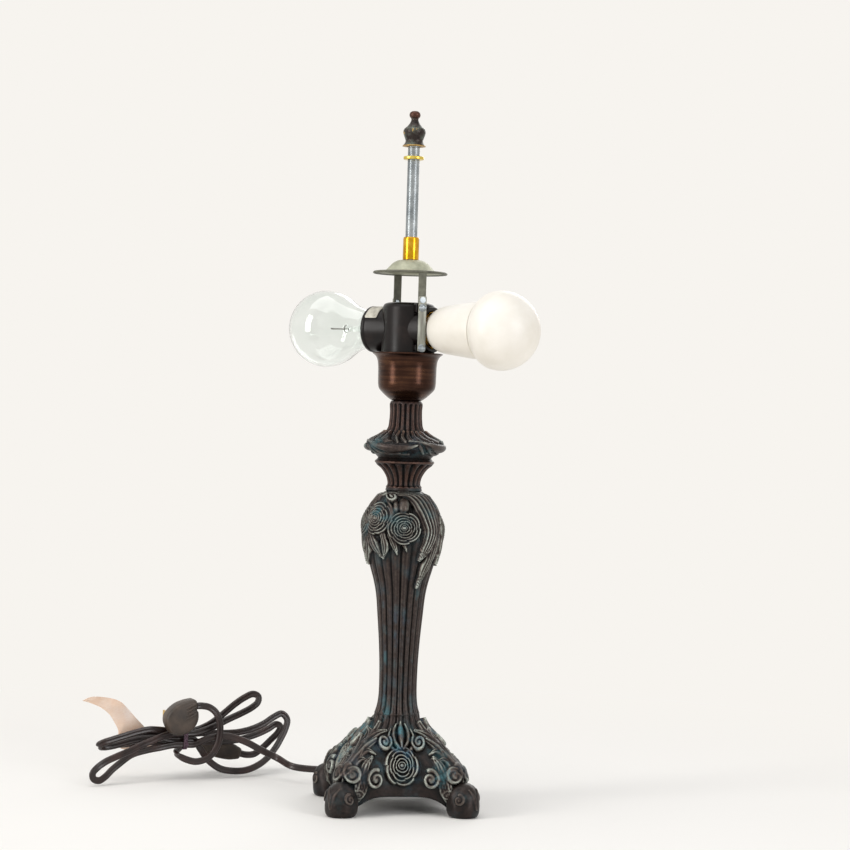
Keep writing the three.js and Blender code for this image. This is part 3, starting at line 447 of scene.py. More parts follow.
def swept(line, sides, section):
    """A tube with flat ends: section gives (across, through) in mm at each corner."""
    points = []
    for here, (tangent, wide) in zip(line, sides):
        thin = tangent.cross(wide)
        points += [(here + wide * x + thin * y) * MM for x, y in section]
    count = len(section)
    faces = grid_faces(len(line), count)
    last = len(points) - count
    points += [line[0] * MM, line[-1] * MM]
    for i in range(count):
        j = (i + 1) % count
        faces += [[len(points) - 2, j, i], [len(points) - 1, last + i, last + j]]
    return points, faces


first_line, first_length = smooth_line(to_switch)
last_line, last_length = smooth_line(to_plug)

# %% [markdown]
# The section is two round wires with a web between them, so that a groove runs down each
# flat side. One closed tube follows the whole line, and passes straight through the switch.

# %% The brown cord


def two_wires(width, thick, web=0.62, corners=28):
    """Corners of a flat cord's section, with a groove down the middle of both sides."""
    radius = thick / 2
    offset = width / 2 - radius
    section = []
    for i in range(corners):
        a = 2 * math.pi * i / corners
        x = width / 2 * math.copysign(abs(math.cos(a)) ** 0.75, math.cos(a))
        lobe = math.sqrt(max(0, radius ** 2 - min(radius, abs(abs(x) - offset)) ** 2))
        y = max(lobe, web * radius if abs(x) < offset else 0)
        section.append((x, math.copysign(y, math.sin(a)) if abs(math.sin(a)) > 1e-6 else 0))
    return section


inside = [in_bundle(*on_switch(half_switch * s)) for s in (0.75, 0.5, 0.25, 0, -0.25, -0.5, -0.75)]
cord_line = first_line + inside + last_line
points, faces = swept(cord_line, flat_side(cord_line), two_wires(CORD_WIDTH, CORD_THICK))
cord = outward(piece("brown_flat_cord", points, faces))
print("cord faces", len(cord.data.polygons))

# %% [markdown]
# The cord is brown vinyl, a little scuffed. The cord's run inside the base isn't seen, so it
# keeps its CAD tube in the same vinyl.

# %% Cord material
brown_vinyl = Paint("brown_cord_vinyl", Roughness=0.36, Specular_IOR_Level=0.5)
scuffs = brown_vinyl.noise(60, 6)
grime = brown_vinyl.noise(900, 3)
brown_vinyl.set(Base_Color=brown_vinyl.colours(scuffs, [
    (0.3, tone("150d0c")), (0.5, tone("231614")), (0.72, tone("3a2520"))]))
brown_vinyl.set(Roughness=scuffs * 0.25 + 0.2)
brown_vinyl.bump(grime, 0.12, 0.0002)
repaint(brown_vinyl, "inner_cord")
print("cord material ready")

# %% [markdown]
# The plug is a moulded shell on edge in front of the waist, broad and rounded, with four grip
# ridges beside the cord. Its outline is drawn once and shrunk a little at each face, which
# gives the soft moulded edge, and the ridges are repeated by Geometry Nodes.

# %% Shells from an outline
PLUG_OUTLINE = [(2.6, 66), (-3.2, 65.2), (-11, 62.6), (-17, 58), (-20.6, 52.6), (-20.8, 48), (-18.7, 42.6),
                (-15, 37.6), (-7.3, 37), (-0.3, 39.4), (4.4, 44), (6.8, 50), (6.4, 55.6), (5.1, 57),
                (5.1, 63),
                (4.4, 65)]


def shell(outline, levels):
    """A closed form from an outline in x and z. levels are (depth, inset) from front to back."""
    count = len(outline)
    flat = [Vector(p) for p in outline]
    area = sum(a.x * b.y - b.x * a.y for a, b in zip(flat, flat[1:] + flat[:1]))
    side = 1 if area > 0 else -1
    normals = []
    for i in range(count):
        along = (flat[(i + 1) % count] - flat[i - 1]).normalized()
        normals.append(Vector((-along.y, along.x)) * side)
    points = []
    for depth, inset in levels:
        points += [(p.x + n.x * inset, depth, p.y + n.y * inset) for p, n in zip(flat, normals)]
    faces = grid_faces(len(levels), count)
    middle = sum(flat, Vector((0, 0))) / count
    points += [(middle.x, levels[0][0], middle.y), (middle.x, levels[-1][0], middle.y)]
    last = (len(levels) - 1) * count
    for i in range(count):
        j = (i + 1) % count
        faces += [[len(points) - 2, j, i], [len(points) - 1, last + i, last + j]]
    return points, faces


def soft_edge(near, far, radius, steps=5, far_radius=None):
    """Depths and insets that round both faces of a shell."""
    back = radius if far_radius is None else far_radius
    levels = [(near + radius * (1 - math.cos(math.pi / 2 * k / steps)),
               radius * (1 - math.sin(math.pi / 2 * k / steps))) for k in range(steps + 1)]
    levels += [(far - back * (1 - math.cos(math.pi / 2 * k / steps)),
                back * (1 - math.sin(math.pi / 2 * k / steps))) for k in reversed(range(steps + 1))]
    return levels


def into_bundle(points):
    return [in_bundle(*p) * MM for p in points]


plug_points, plug_faces = shell(rounded(PLUG_OUTLINE, 4, 4), soft_edge(-23, -9.4, 3.2, 5, 1.2))
plug = outward(piece("plug_shell", into_bundle(plug_points), plug_faces, sharp=50))
print("plug", len(plug.data.polygons), "faces")

# %% [markdown]
# Geometry Nodes repeats what comes in rows. The class below builds a tree with named inputs and
# turns its result into a plain mesh, here the plug's four grip ridges.

# %% Repeated bars by Geometry Nodes


class Tree:
    """A Geometry Nodes tree that is built up node by node, with named inputs."""

    def __init__(self, name, **inputs):
        self.tree = bpy.data.node_groups.new(name, "GeometryNodeTree")
        face = self.tree.interface
        face.new_socket("Geometry", in_out="INPUT", socket_type="NodeSocketGeometry")
        self.names = {}
        for key, value in inputs.items():
            kind = {int: "NodeSocketInt", float: "NodeSocketFloat"}.get(type(value), "NodeSocketVector")
            if isinstance(value, bpy.types.Material):
                kind = "NodeSocketMaterial"
            socket = face.new_socket(key, in_out="INPUT", socket_type=kind)
            self.names[key] = (socket.identifier, value)
        face.new_socket("Geometry", in_out="OUTPUT", socket_type="NodeSocketGeometry")
        self.start = self.tree.nodes.new("NodeGroupInput")
        self.end = self.tree.nodes.new("NodeGroupOutput")

    def given(self, name):
        return self.start.outputs[name]

    def add(self, kind, settings=None, **inputs):
        made = self.tree.nodes.new(kind)
        for key, value in (settings or {}).items():
            setattr(made, key, value)
        for key, value in inputs.items():
            key = key.replace("_", " ")
            socket = made.inputs[int(key)] if key.isdigit() else made.inputs[key]
            if isinstance(value, bpy.types.NodeSocket):
                self.tree.links.new(value, socket)
            else:
                socket.default_value = value
        return made

    def made_into(self, name, geometry, paint):
        """Realizes the tree on an empty mesh and returns it as a plain piece."""
        real = self.add("GeometryNodeRealizeInstances", Geometry=geometry)
        last = self.add("GeometryNodeSetMaterial", Geometry=real.outputs[0], Material=paint.material)
        self.tree.links.new(last.outputs[0], self.end.inputs[0])
        holder = bpy.data.objects.new(name + "_maker", bpy.data.meshes.new(name + "_maker"))
        bpy.context.collection.objects.link(holder)
        modifier = holder.modifiers.new("make", "NODES")
        modifier.node_group = self.tree
        for identifier, value in self.names.values():
            modifier[identifier] = value
        seen = holder.evaluated_get(bpy.context.evaluated_depsgraph_get())
        mesh = bpy.data.meshes.new_from_object(seen)
        holder.modifiers.remove(modifier)
        bpy.data.objects.remove(holder)
        mesh.name = name
        made = bpy.data.objects.new(name, mesh)
        bpy.context.collection.objects.link(made)
        ALL_PIECES[name] = made
        return made


def settled(obj, matrix):
    """Bakes a matrix into a mesh, so that the object itself stays at the origin."""
    obj.data.transform(matrix)
    obj.data.update()
    return obj


olive_mould = Paint("olive_plug_mould", Roughness=0.5)
blotch = olive_mould.noise(90, 5)
olive_mould.set(Base_Color=olive_mould.colours(blotch, [
    (0.3, tone("241c16")), (0.52, tone("3a2f26")), (0.75, tone("51443a"))]))
olive_mould.set(Roughness=blotch * 0.3 + 0.32)
olive_mould.bump(olive_mould.noise(1400, 3), 0.15, 0.0002)

RIDGES = 4
ridges = Tree("grip_ridges", Count=RIDGES, Pitch=(0.0, 0.0, -0.0029), Radius=0.0011)
line = ridges.add("GeometryNodeMeshLine", Count=ridges.given("Count"), Offset=ridges.given("Pitch"))
bar = ridges.add("GeometryNodeMeshUVSphere", {}, Segments=16, Rings=10, Radius=ridges.given("Radius"))
squeezed = ridges.add("GeometryNodeTransform", Geometry=bar.outputs[0], Scale=(4.6, 0.8, 1.0),
                      Rotation=(0.0, -0.5, 0.0))
placed = ridges.add("GeometryNodeInstanceOnPoints", Points=line.outputs[0], Instance=squeezed.outputs[0])
grip = ridges.made_into("plug_grip_ridges", placed.outputs[0], olive_mould)
turn_in = Matrix.Rotation(math.radians(BUNDLE_TURN), 4, "Z")
settled(grip, Matrix.Translation(in_bundle(-0.6, -22.8, 60.6) * MM) @ turn_in)
print("ridges", len(grip.data.polygons), "faces")

# %% [markdown]
# The shell and its ridges share one moulded brown. The shell stands for the CAD node.

# %% Dress the plug
dress(plug, olive_mould, "lamp", "olive_plug", "plug_body")
dress(grip, olive_mould, "lamp", "olive_plug")
print("plug dressed")

# %% [markdown]
# The inline switch has two shells with a parting line between them and a wheel that shows at
# the top. The wheel turns on its own, so it is a piece of its own with knurls round its rim.

# %% The switch
slope = math.radians(SWITCH["slope"])
switch_x = (ALONG * math.cos(slope) - UP * math.sin(slope)).normalized()
switch_z = switch_x.cross(BEHIND)
SWITCH_FRAME = Matrix((switch_x, BEHIND, switch_z)).transposed().to_4x4()
SWITCH_FRAME.translation = in_bundle(*on_switch(0)) * MM
WHEEL = {"x": 2, "z": 1.6, "radius": 7.6}
half, tall, deep = half_switch, SWITCH["height"] / 2, SWITCH["depth"] / 2
above = [(half, 4.2), (half - 4, 5.6), (half - 9, tall - 0.5), (0, tall), (9 - half, tall - 0.5),
         (4 - half, 5.6),
         (-half, 4.2)]
switch_outline = rounded(above + [(x, -z) for x, z in reversed(above)], 3, 3)
gap = 0.15
shell_levels = {
    "front": soft_edge(-deep, -gap, 2.4, 5, 0.25),
    "back": soft_edge(gap, deep, 0.25, 5, 2.4),
}
for name, levels in shell_levels.items():
    points, faces = shell(switch_outline, levels)
    points = [SWITCH_FRAME @ (Vector(p) * MM) for p in points]
    half_shell = outward(piece(f"switch_shell_{name}", points, faces, sharp=40))
    dress(half_shell, olive_mould, "lamp", "olive_plug", f"switch_housing_{name}")

KNURLS = 30
rim = []
for i in range(KNURLS * 4):
    a = 2 * math.pi * i / (KNURLS * 4)
    radius = WHEEL["radius"] - (0.0 if i % 4 < 2 else 0.5)
    rim.append((WHEEL["x"] + radius * math.cos(a), WHEEL["z"] + radius * math.sin(a)))
points, faces = shell(rim, [(-2, 0.6), (-1.6, 0.1), (1.6, 0.1), (2, 0.6)])
wheel = outward(piece("switch_thumbwheel", [SWITCH_FRAME @ (Vector(p) * MM) for p in points], faces,
                      sharp=35))
black_gloss = Paint("black_switch_wheel", Roughness=0.32)
black_gloss.set(Base_Color=black_gloss.colours(black_gloss.noise(300, 4), [
    (0.3, tone("0d0c0c")), (0.7, tone("262120"))]))
black_gloss.bump(black_gloss.noise(1200, 3), 0.1, 0.0002)
dress(wheel, black_gloss, "switch_wheel", "black_phenolic", "switch_wheel")
print("switch dressed")

# %% [markdown]
# A vinyl twist tie goes once round the waist and ends in a few twists at the front. It is a
# thin strip, so it is swept round a rounded rectangle as a ribbon.

# %% Twist tie


def ribbon(path, width, thick, closed, across):
    """A flat strip along a path in mm. across gives the direction of its width at each point."""
    count = len(path)
    points = []
    for i, here in enumerate(path):
        before = path[i - 1] if i or closed else here
        after = path[(i + 1) % count] if i < count - 1 or closed else here
        tangent = (after - before).normalized()
        wide = across[i] - tangent * across[i].dot(tangent)
        wide.normalize()
        thin = tangent.cross(wide)
        section = [(-0.5, -0.2), (-0.38, -0.5), (0.38, -0.5), (0.5, -0.2), (0.5, 0.2), (0.38, 0.5),
                   (-0.38, 0.5),
                   (-0.5, 0.2)]
        points += [(here + wide * (x * width) + thin * (y * thick)) * MM for x, y in section]
    faces = grid_faces(count, 8)
    end = (count - 1) * 8
    if closed:
        faces += [[end + k, end + (k + 1) % 8, (k + 1) % 8, k] for k in range(8)]
    else:
        faces += [list(range(8)), [end + k for k in reversed(range(8))]]
    return points, faces


low, high = FRONT[2] - CORD_WIDTH / 2 - 0.8, MIDDLE[1] + CORD_WIDTH / 2 + 0.8
near, far = FRONT[0] - CORD_THICK / 2 - 0.8, REAR[0] + CORD_THICK / 2 + 0.8
loop = rounded([(near, low), (far, low), (far, high), (near, high)], 2.2, 5)
ring_path = [in_bundle(0.5 * math.sin(z * 0.5), v, z) for v, z in loop]
points, faces = ribbon(ring_path, 3.4, 0.9, True, [ALONG.copy() for _ in loop])
tail_path, tail_across = [], []
for i in range(25):
    t = i / 24
    a = t * math.pi * 3.4
    tail_path.append(in_bundle(0.4 + 0.6 * math.sin(a), near - 0.9 - 0.3 * math.cos(a), high - 5 - 12.5 * t))
    tail_across.append(ALONG * math.cos(a * 0.8) + BEHIND * math.sin(a * 0.8))
tail_points, tail_faces = ribbon(tail_path, 2.6, 0.8, False, tail_across)
faces += [[v + len(points) for v in face] for face in tail_faces]
points += tail_points
tie = outward(piece("twist_tie_strip", points, faces, sharp=50))
tie_vinyl = Paint("purple_brown_tie", Roughness=0.42)
tie_vinyl.set(Base_Color=tie_vinyl.colours(tie_vinyl.noise(260, 4), [
    (0.3, tone("2e1f2a")), (0.55, tone("543a4a")), (0.8, tone("85697c"))]))
tie_vinyl.bump(tie_vinyl.noise(1500, 2), 0.2, 0.0002)
dress(tie, tie_vinyl, "lamp", "tie_vinyl", "twist_tie")
print("tie", len(tie.data.polygons), "faces")

# %% [markdown]
# The paper tag is blank, old and cream-coloured. It stands up behind the left loops, and its
# free end curls towards the viewer, so it is a strip between two curves that bends as it goes.

# %% Paper tag
TAG_TOP = [(-19, 26.5), (-22.4, 32.5), (-27.7, 39.2), (-34.6, 46), (-42.4, 54.3), (-51, 61.8), (-62.8, 65.3),
           (-76, 66.2), (-82.9, 63.4)]
TAG_FOOT = [(-24, 21.2), (-38, 21.6), (-48.5, 23), (-51.4, 28.5), (-50.4, 36.6), (-53.8, 44), (-58.2, 50.6),
            (-66, 56.6), (-75.2, 60.8), (-82.4, 63)]
top_line, _ = smooth_line([Vector((u, z, 0)) for u, z in TAG_TOP], 2)
foot_line, _ = smooth_line([Vector((u, z, 0)) for u, z in TAG_FOOT], 2)
TAG_ROWS, TAG_COLUMNS = 44, 13


def along_line(line, share):
    at = share * (len(line) - 1)
    i = min(int(at), len(line) - 2)
    return line[i].lerp(line[i + 1], at - i)


def tag_points(thick):
    made = []
    for i in range(TAG_ROWS):
        t = i / (TAG_ROWS - 1)
        top, foot = along_line(top_line, t), along_line(foot_line, t)
        for k in range(TAG_COLUMNS):
            s = k / (TAG_COLUMNS - 1)
            flat = foot.lerp(top, s)
            curl = -7.5 * t ** 2 * (0.4 + 0.6 * s) + 1.6 * math.sin(t * 7) * (s - 0.5)
            curl += 0.4 * math.sin(t * 23 + s * 4)
            depth = 12.6 + curl + 2.2 * (s - 0.5) ** 2 * 4 * (1 - t)
            made.append(in_bundle(flat.x, depth + thick, flat.y) * MM)
    return made


TAG_HALF = 0.12
points = tag_points(-TAG_HALF) + tag_points(TAG_HALF)
tag = outward(piece("blank_paper_tag", points, sheet_faces(TAG_ROWS, TAG_COLUMNS), sharp=60))
old_paper = Paint("old_cream_paper", Roughness=0.85)
stain = old_paper.noise(45, 5)
fibres = old_paper.noise(700, 5, stretch=(1.0, 1.0, 4.0))
old_paper.set(Base_Color=old_paper.mix(fibres.ramp(0.35, 0.8) * 0.35, old_paper.colours(stain, [
    (0.3, tone("edc4a6")), (0.5, tone("f7dcc6")), (0.7, tone("fbebdf"))]), tone("e2b498")))
old_paper.bump(fibres, 0.3, 0.0002)
dress(tag, old_paper, "lamp", "paper", "paper_tag")
print("tag", len(tag.data.polygons), "faces")

# %% [markdown]
# The one tube stands for the cord's three CAD nodes. The plug, the switch, the tie and the tag
# sit on the cord.

blade_brass = Paint("plug_blade_brass", Metallic=1.0, Roughness=0.3)
blade_brass.set(Base_Color=blade_brass.colours(blade_brass.noise(400, 4), [
    (0.3, tone("a8812f")), (0.7, tone("d9b55a"))]))
repaint(blade_brass, "plug_blade_left", "plug_blade_right")
dress(cord, brown_vinyl, "lamp", "brown_cord", "cord_lead", "cord_hank", "cord_tail")
tuple(cord_line[0] * MM)
[tuple(p * MM) for p in cord_line]

# %% [markdown]
# The castings are cast ornament over a plain form, so each is a fine grid over that form with
# heights added along its normals. Roses, leaves and scrolls are drawn as seen face-on from a
# compass direction and laid over one another, the higher form winning, which gives the sharp
# creases of old castings. Their heights are kept as attributes, so that the finish can be
# rubbed light on the ridges, as wear with a painted highlight, darkened in the grooves, as
# patina with painted shade, and green in the hollows.

# %% Relief on a grid


def spline_through(points, count):
    """An even row of count points along a smooth line through points, as an array."""
    line, _ = smooth_line([Vector((*p, 0)) for p in points], 0.4)
    shares = np.linspace(0, len(line) - 1, count)
    flat = np.array([(p.x, p.y) for p in line])
    at = np.arange(len(line))
    return np.stack([np.interp(shares, at, flat[:, 0]), np.interp(shares, at, flat[:, 1])], 1)


class Relief:
    """Heights in mm over a grid of rows by columns that closes round the Z axis."""

    def __init__(self, points):
        self.rows, self.columns = points.shape[:2]
        self.points = points
        self.height = np.zeros(points.shape[:2])
        self.stain = np.zeros(points.shape[:2])
        self.turned_away = 0.0

    def lay(self, turn, centre, reach, form, side=1):
        """Lays a form on, as seen from a compass direction in degrees; side -1 mirrors it."""
        a = math.radians(turn)
        x, y, z = (self.points[..., k] for k in range(3))
        beside = x * math.cos(a) + y * math.sin(a)
        across = (beside - centre[0] * side) * side
        towards = x * math.sin(a) - y * math.cos(a)
        up = z - centre[1]
        near = (towards > 3) & (towards > self.turned_away * np.abs(beside))
        near &= (np.abs(across) < reach) & (np.abs(up) < reach)
        value = form(across[near], up[near])
        self.height[near] = np.where(value > 0.05, np.maximum(self.height[near], value), self.height[near])

    def normals(self):
        p = self.points
        down = np.gradient(p, axis=0)
        round_ = np.roll(p, -1, axis=1) - np.roll(p, 1, axis=1)
        normal = np.cross(round_, down)
        length = np.linalg.norm(normal, axis=-1, keepdims=True)
        return normal / np.maximum(length, 1e-9)

    def softened(self, field, times):
        soft = field.copy()
        for _ in range(times):
            padded = np.pad(soft, ((1, 1), (0, 0)), mode="edge")
            soft = (padded[:-2] + padded[2:] + np.roll(soft, 1, 1) + np.roll(soft, -1, 1) + soft) / 5
        return soft

    def made(self, name, sign, closed_rows, lift):
        """The finished mesh, with 'crest' and 'stain' on its points; lift is a share for each row."""
        normal = self.normals() * sign
        moved_points = self.points + normal * self.height[..., None] * lift[:, None, None]
        faces = grid_faces(self.rows, self.columns)
        if closed_rows:
            last = (self.rows - 1) * self.columns
            faces += [[last + i, last + (i + 1) % self.columns, (i + 1) % self.columns, i]
                      for i in range(self.columns)]
        obj = piece(name, moved_points.reshape(-1, 3) * MM, faces)
        # crest is high on ridges and low in grooves; the finish turns it into wear with a painted highlight
        # on the ridges and patina with painted shade in the grooves.
        fine = self.height - self.softened(self.height, 6)
        middle = self.height - self.softened(self.height, 40)
        crest = np.clip(0.42 + 0.33 * np.tanh(fine * 2.2) + 0.2 * np.tanh(middle * 1.0), 0, 1)
        for key, field in (("crest", crest), ("stain", np.clip(self.stain, 0, 1))):
            layer = obj.data.attributes.new(key, "FLOAT", "POINT")
            layer.data.foreach_set("value", field.astype(np.float32).ravel())
        return outward(obj)


def nearest(line, u, w):
    """How far a line is from each point, how far along it that is, and on which side it lies."""
    tangents = np.gradient(line, axis=0)
    step = np.linalg.norm(tangents, axis=1, keepdims=True)
    tangents = tangents / step
    best, along, aside = np.full(u.shape, 99.0), np.zeros(u.shape), np.zeros(u.shape)
    for k, ((x, y), (tx, ty), (pace,)) in enumerate(zip(line, tangents, step)):
        du, dw = u - x, w - y
        slide = np.clip(du * tx + dw * ty, -pace / 2, pace / 2)
        du, dw = du - slide * tx, dw - slide * ty
        gap = np.hypot(du, dw)
        closer = gap < best
        best = np.where(closer, gap, best)
        along = np.where(closer, (k + slide / pace) / (len(line) - 1), along)
        aside = np.where(closer, dw * tx - du * ty, aside)
    return best, np.clip(along, 0, 1), aside


def stroke(path, widths, high, groove=0.0, count=44):
    """A rounded ridge along a path, wide in the middle or at an end, with a groove down it if asked."""
    line = spline_through(path, count)

    def form(u, w):
        best, along, _ = nearest(line, u, w)
        share = best / np.interp(along, np.linspace(0, 1, len(widths)), widths)
        ridge = high * np.clip(1 - share ** 2.2, 0, 1) ** 0.6
        return ridge * (1 - groove * np.exp(-(share / 0.32) ** 2))
    return form


def spiral(radius, turns, start, way=1, count=30):
    """Points of a volute from its outer end to its eye."""
    points = []
    for k in range(count):
        t = k / (count - 1)
        a = math.radians(start) + way * t * turns * 2 * math.pi
        r = radius * (1 - t) ** 0.85 + 0.4
        points.append((r * math.cos(a), r * math.sin(a)))
    return points


def volute(radius, turns, start, way, wide, high):
    return stroke(spiral(radius, turns, start, way), [wide, wide * 0.8, wide * 0.75, wide * 1.25], high, 0.0,
                  60)


def rose(radius, high, seed=0.0, roll=0.72):
    """Rings of petals that overlap like a spiral, with rolled rims, round a tight bud.

    A narrow roll takes six rings of small petals, a roll of 1 or more five rings of broad ones.
    """
    if roll < 1:
        rings = [(1.0, 5, 0.76, seed), (0.8, 5, 0.84, seed + 100), (0.62, 4, 0.9, seed + 40),
                 (0.46, 4, 0.96, seed + 10), (0.31, 3, 1.0, seed + 70), (0.18, 2, 1.0, seed + 20)]
    else:
        rings = [(1.0, 5, 0.7, seed + 30), (0.78, 5, 0.8, seed + 75), (0.58, 4, 0.88, seed + 20),
                 (0.39, 3, 0.95, seed + 70), (0.22, 3, 1.0, seed + 10)]

    def form(u, w):
        far, turn = np.hypot(u, w) / radius, np.arctan2(w, u)
        value = np.zeros(u.shape)
        for edge, petals, rise, twist in rings:
            step = (turn / (2 * math.pi) * petals + twist / 90) % 1
            rim = edge * (0.88 + 0.08 * step + 0.06 * np.sin(step * math.pi) ** 0.8)
            share = far / rim
            rolled = np.exp(-((share - 0.88) * rim * radius / roll) ** 2)
            cup = rise * (0.5 + 0.5 * rolled) * np.sqrt(np.clip(1 - share ** 16, 0, 1))
            value = np.maximum(value, np.where(share < 1, cup, 0))
        value = np.maximum(value, np.where(far < 0.09, 1.0 - 12 * far ** 2, 0))
        return value * high * (1 - 0.12 * np.clip(far, 0, 1) ** 2)
    return form


def leaf(spine, half, high, lobes=5, ribs=3, count=50):
    """An acanthus leaf along a spine: its edge is lobed and its ribs run along it like reeds."""
    line = spline_through(spine, count)

    def form(u, w):
        best, along, aside = nearest(line, u, w)
        notch = np.abs(np.sin((along * lobes + 0.5) * math.pi)) if lobes else 1.0
        edge = np.interp(along, np.linspace(0, 1, len(half)), half) * (0.84 + 0.16 * notch)
        s = best / edge
        dome = np.clip(1 - s ** 2.6, 0, 1) ** 0.5
        reeds = np.abs(np.cos(np.clip(aside / edge, -1, 1) * ribs * math.pi / 2)) ** 0.9 if ribs else 1.0
        return np.where(s < 1, high * dome * (0.5 + 0.5 * reeds), 0)
    return form


def knob(across, up, high):
    """A plain rounded bump."""
    return lambda u, w: high * np.sqrt(np.clip(1 - (u / across) ** 2 - (w / up) ** 2, 0, 1))


print("relief ready")

# %% [markdown]
# The base rises from four ball feet: flat-sided between the legs and drawn out towards them.
# Its face and leg outlines are blended round the axis, and the inside follows them, so that
# it is hollow. Each face has a rose under a palmette, with C scrolls at both sides, and each
# leg is an acanthus leaf that ends in a curl over its foot.

# %% The base casting
FACE_LINE = [(17.4, 72), (18.4, 67), (21.5, 61), (27.5, 53.5), (34, 44.5), (38, 35.5), (41.5, 26), (42.5, 14)]
LEG_LINE = [(17.4, 72), (19.5, 66.5), (28, 58), (38, 51), (49, 42), (59, 33), (62, 22), (57, 3.5)]
FACE_INSIDE = [(38.5, 16), (35.5, 33), (28.5, 47), (17, 58)]
LEG_INSIDE = [(58, 14), (59, 30), (40, 47), (17, 58)]
PIPE_HOLE = 5.3


def blended(face, leg, columns):
    turn = np.linspace(0, 2 * math.pi, columns, endpoint=False)
    corner = np.abs(np.sin(2 * turn))[None, :, None]
    low = np.clip((32 - face[:, 1]) / 16, 0, 1)[:, None, None]
    share = np.concatenate([corner ** 3 + 0 * low, corner ** (3 + 7 * low)], -1)
    line = face[:, None, :] * (1 - share) + leg[:, None, :] * share
    x = line[..., 0] * np.sin(turn)[None, :]
    y = -line[..., 0] * np.cos(turn)[None, :]
    return np.stack([x, y, line[..., 1]], -1)


BASE_COLUMNS, BASE_ROWS = 472, 180
outer = blended(spline_through(FACE_LINE, BASE_ROWS), spline_through(LEG_LINE, BASE_ROWS), BASE_COLUMNS)
inner = blended(spline_through(FACE_INSIDE, 14), spline_through(LEG_INSIDE, 14), BASE_COLUMNS)
pipe_bore = np.array([(PIPE_HOLE, 58), (PIPE_HOLE, 72), (12, 72.0)])
middle = blended(pipe_bore, pipe_bore, BASE_COLUMNS)
base = Relief(np.concatenate([outer, inner, middle]))
base.turned_away = 0.85
height_z = base.points[..., 2]
base_turn = np.degrees(np.arctan2(base.points[..., 0], -base.points[..., 1]))
fluting = np.clip((height_z - 60) / 4, 0, 1)
base.height -= 2.1 * (1 - np.abs(np.cos(np.radians(base_turn) * 10)) ** 0.45) * fluting
lay = base.lay
for turn in (0, 90, 180, 270):
    lay(turn, (0, 57), 16, leaf([(0, -8), (0, -3), (0, 2), (0, 10)], [1.6, 3.0, 2.6, 0.5], 4.6, 0, 1))
    for side in (-1, 1):
        lay(turn, (0, 57), 16, leaf([(1.6, -9), (5.2, -4), (5.4, 2), (3.0, 8)], [1.6, 2.4, 2.0, 0.5], 4.0, 0,
                                    1), side)
        lay(turn, (0, 57), 16, leaf([(3, -12), (8.4, -8), (9.6, -2), (7.4, 4)], [1.4, 2.2, 1.8, 0.5], 3.4, 0,
                                    1), side)
        lay(turn, (13.2, 51.6), 12, volute(4.6, 1.5, 150, 1, 1.7, 5.0), side)
        lay(turn, (0, 36), 60, leaf([(19, 17.5), (25, 14), (31, 8.5), (37, 2.5), (41, -3)],
                                    [1.2, 2.2, 2.6, 2.8, 1.6],
                                    4.0, 0, 2), side)
        lay(turn, (0, 36), 60, leaf([(11, 24), (17, 22), (25, 17), (33, 10.5), (41, 3)],
                                    [0.9, 2.6, 3.2, 3.6, 2.8],
                                    3.6, 0, 3), side)
        lay(turn, (0, 36), 60, stroke([(21, 8.5), (25.5, 10.6), (31, 8), (35.5, 2), (39, -5)],
                                      [0.7, 2.1, 2.3, 2.1, 1.2], 3.4, 0.35), side)
        lay(turn, (0, 36), 60, stroke([(26, 2.5), (30, 4.8), (34.5, 2.2), (38, -4)], [0.7, 1.7, 1.8, 1.0],
                                      3.6, 0.5), side)
        lay(turn, (36.8, 30.5), 12, volute(5.6, 1.5, 70, -1, 2.1, 4.6), side)
        lay(turn, (21.4, 27.4), 12, volute(6.0, 1.5, 100, -1, 2.2, 4.0), side)
        lay(turn, (0, 36), 60, stroke([(27, -4), (28.6, -11), (30, -17), (33.5, -24)], [1.2, 2.2, 2.4, 1.4],
                                      3.2, 0.4),
            side)
        lay(turn, (0, 36), 60, leaf([(23.5, 6), (28, 1), (31.5, -6), (34, -14), (36, -23)],
                                    [1.4, 3.2, 3.8, 3.2, 1.0],
                                    3.4, 0, 3), side)
        lay(turn, (33.4, 16.8), 8, volute(3.4, 1.4, 40, 1, 1.5, 3.2), side)
    lay(turn, (-0.7, 35.8), 20, rose(14.8, 6.2, turn * 0.7 + 20, 1.0))
for turn in (45, 135, 225, 315):
    lay(turn, (0, 38), 44, leaf([(0, 27), (0, 16), (0, 4), (0, -6), (0, -13)], [1.4, 2.4, 3.2, 3.2, 1.6],
                                3.8, 0, 2))
    for side in (-1, 1):
        lay(turn, (5.4, 29.5), 10, volute(4.6, 1.6, 120, -1, 1.9, 4.6), side)
    lay(turn, (0, 58), 9, knob(3.4, 2.6, 3.6))
    lay(turn, (0, 50.5), 9, knob(3.8, 2.4, 4.0))
lift = np.concatenate([np.clip(np.linspace(0, 45, BASE_ROWS), 0, 1) * np.clip(np.linspace(12, 0, BASE_ROWS),
    0, 1),
                       np.zeros(17)])
to_face = (base_turn + 45) % 90 - 45
base.stain[:] = 1.7 * np.exp(-((height_z - 56) / 9) ** 2 - (to_face / 22) ** 2)
base.stain += 0.75 * np.exp(-(to_face / 24) ** 2 - ((height_z - 40) / 12) ** 2)
base.stain += 1.5 * np.exp(-((base_turn - 33) / 10) ** 2 - ((height_z - 36) / 13) ** 2)
base.stain += 0.8 * np.exp(-((base_turn + 38) / 22) ** 2 - ((height_z - 66) / 6) ** 2)
skirt = base.made("base_casting_relief", -1, True, lift)
print("base", len(skirt.data.polygons), "faces")

# %% [markdown]
# Each foot is a rounded block, a little uneven as cast, with a scroll at each side and two short
# ridges in front. A foot is a turned grid of its own, so the scrolls are laid on it in the same way.

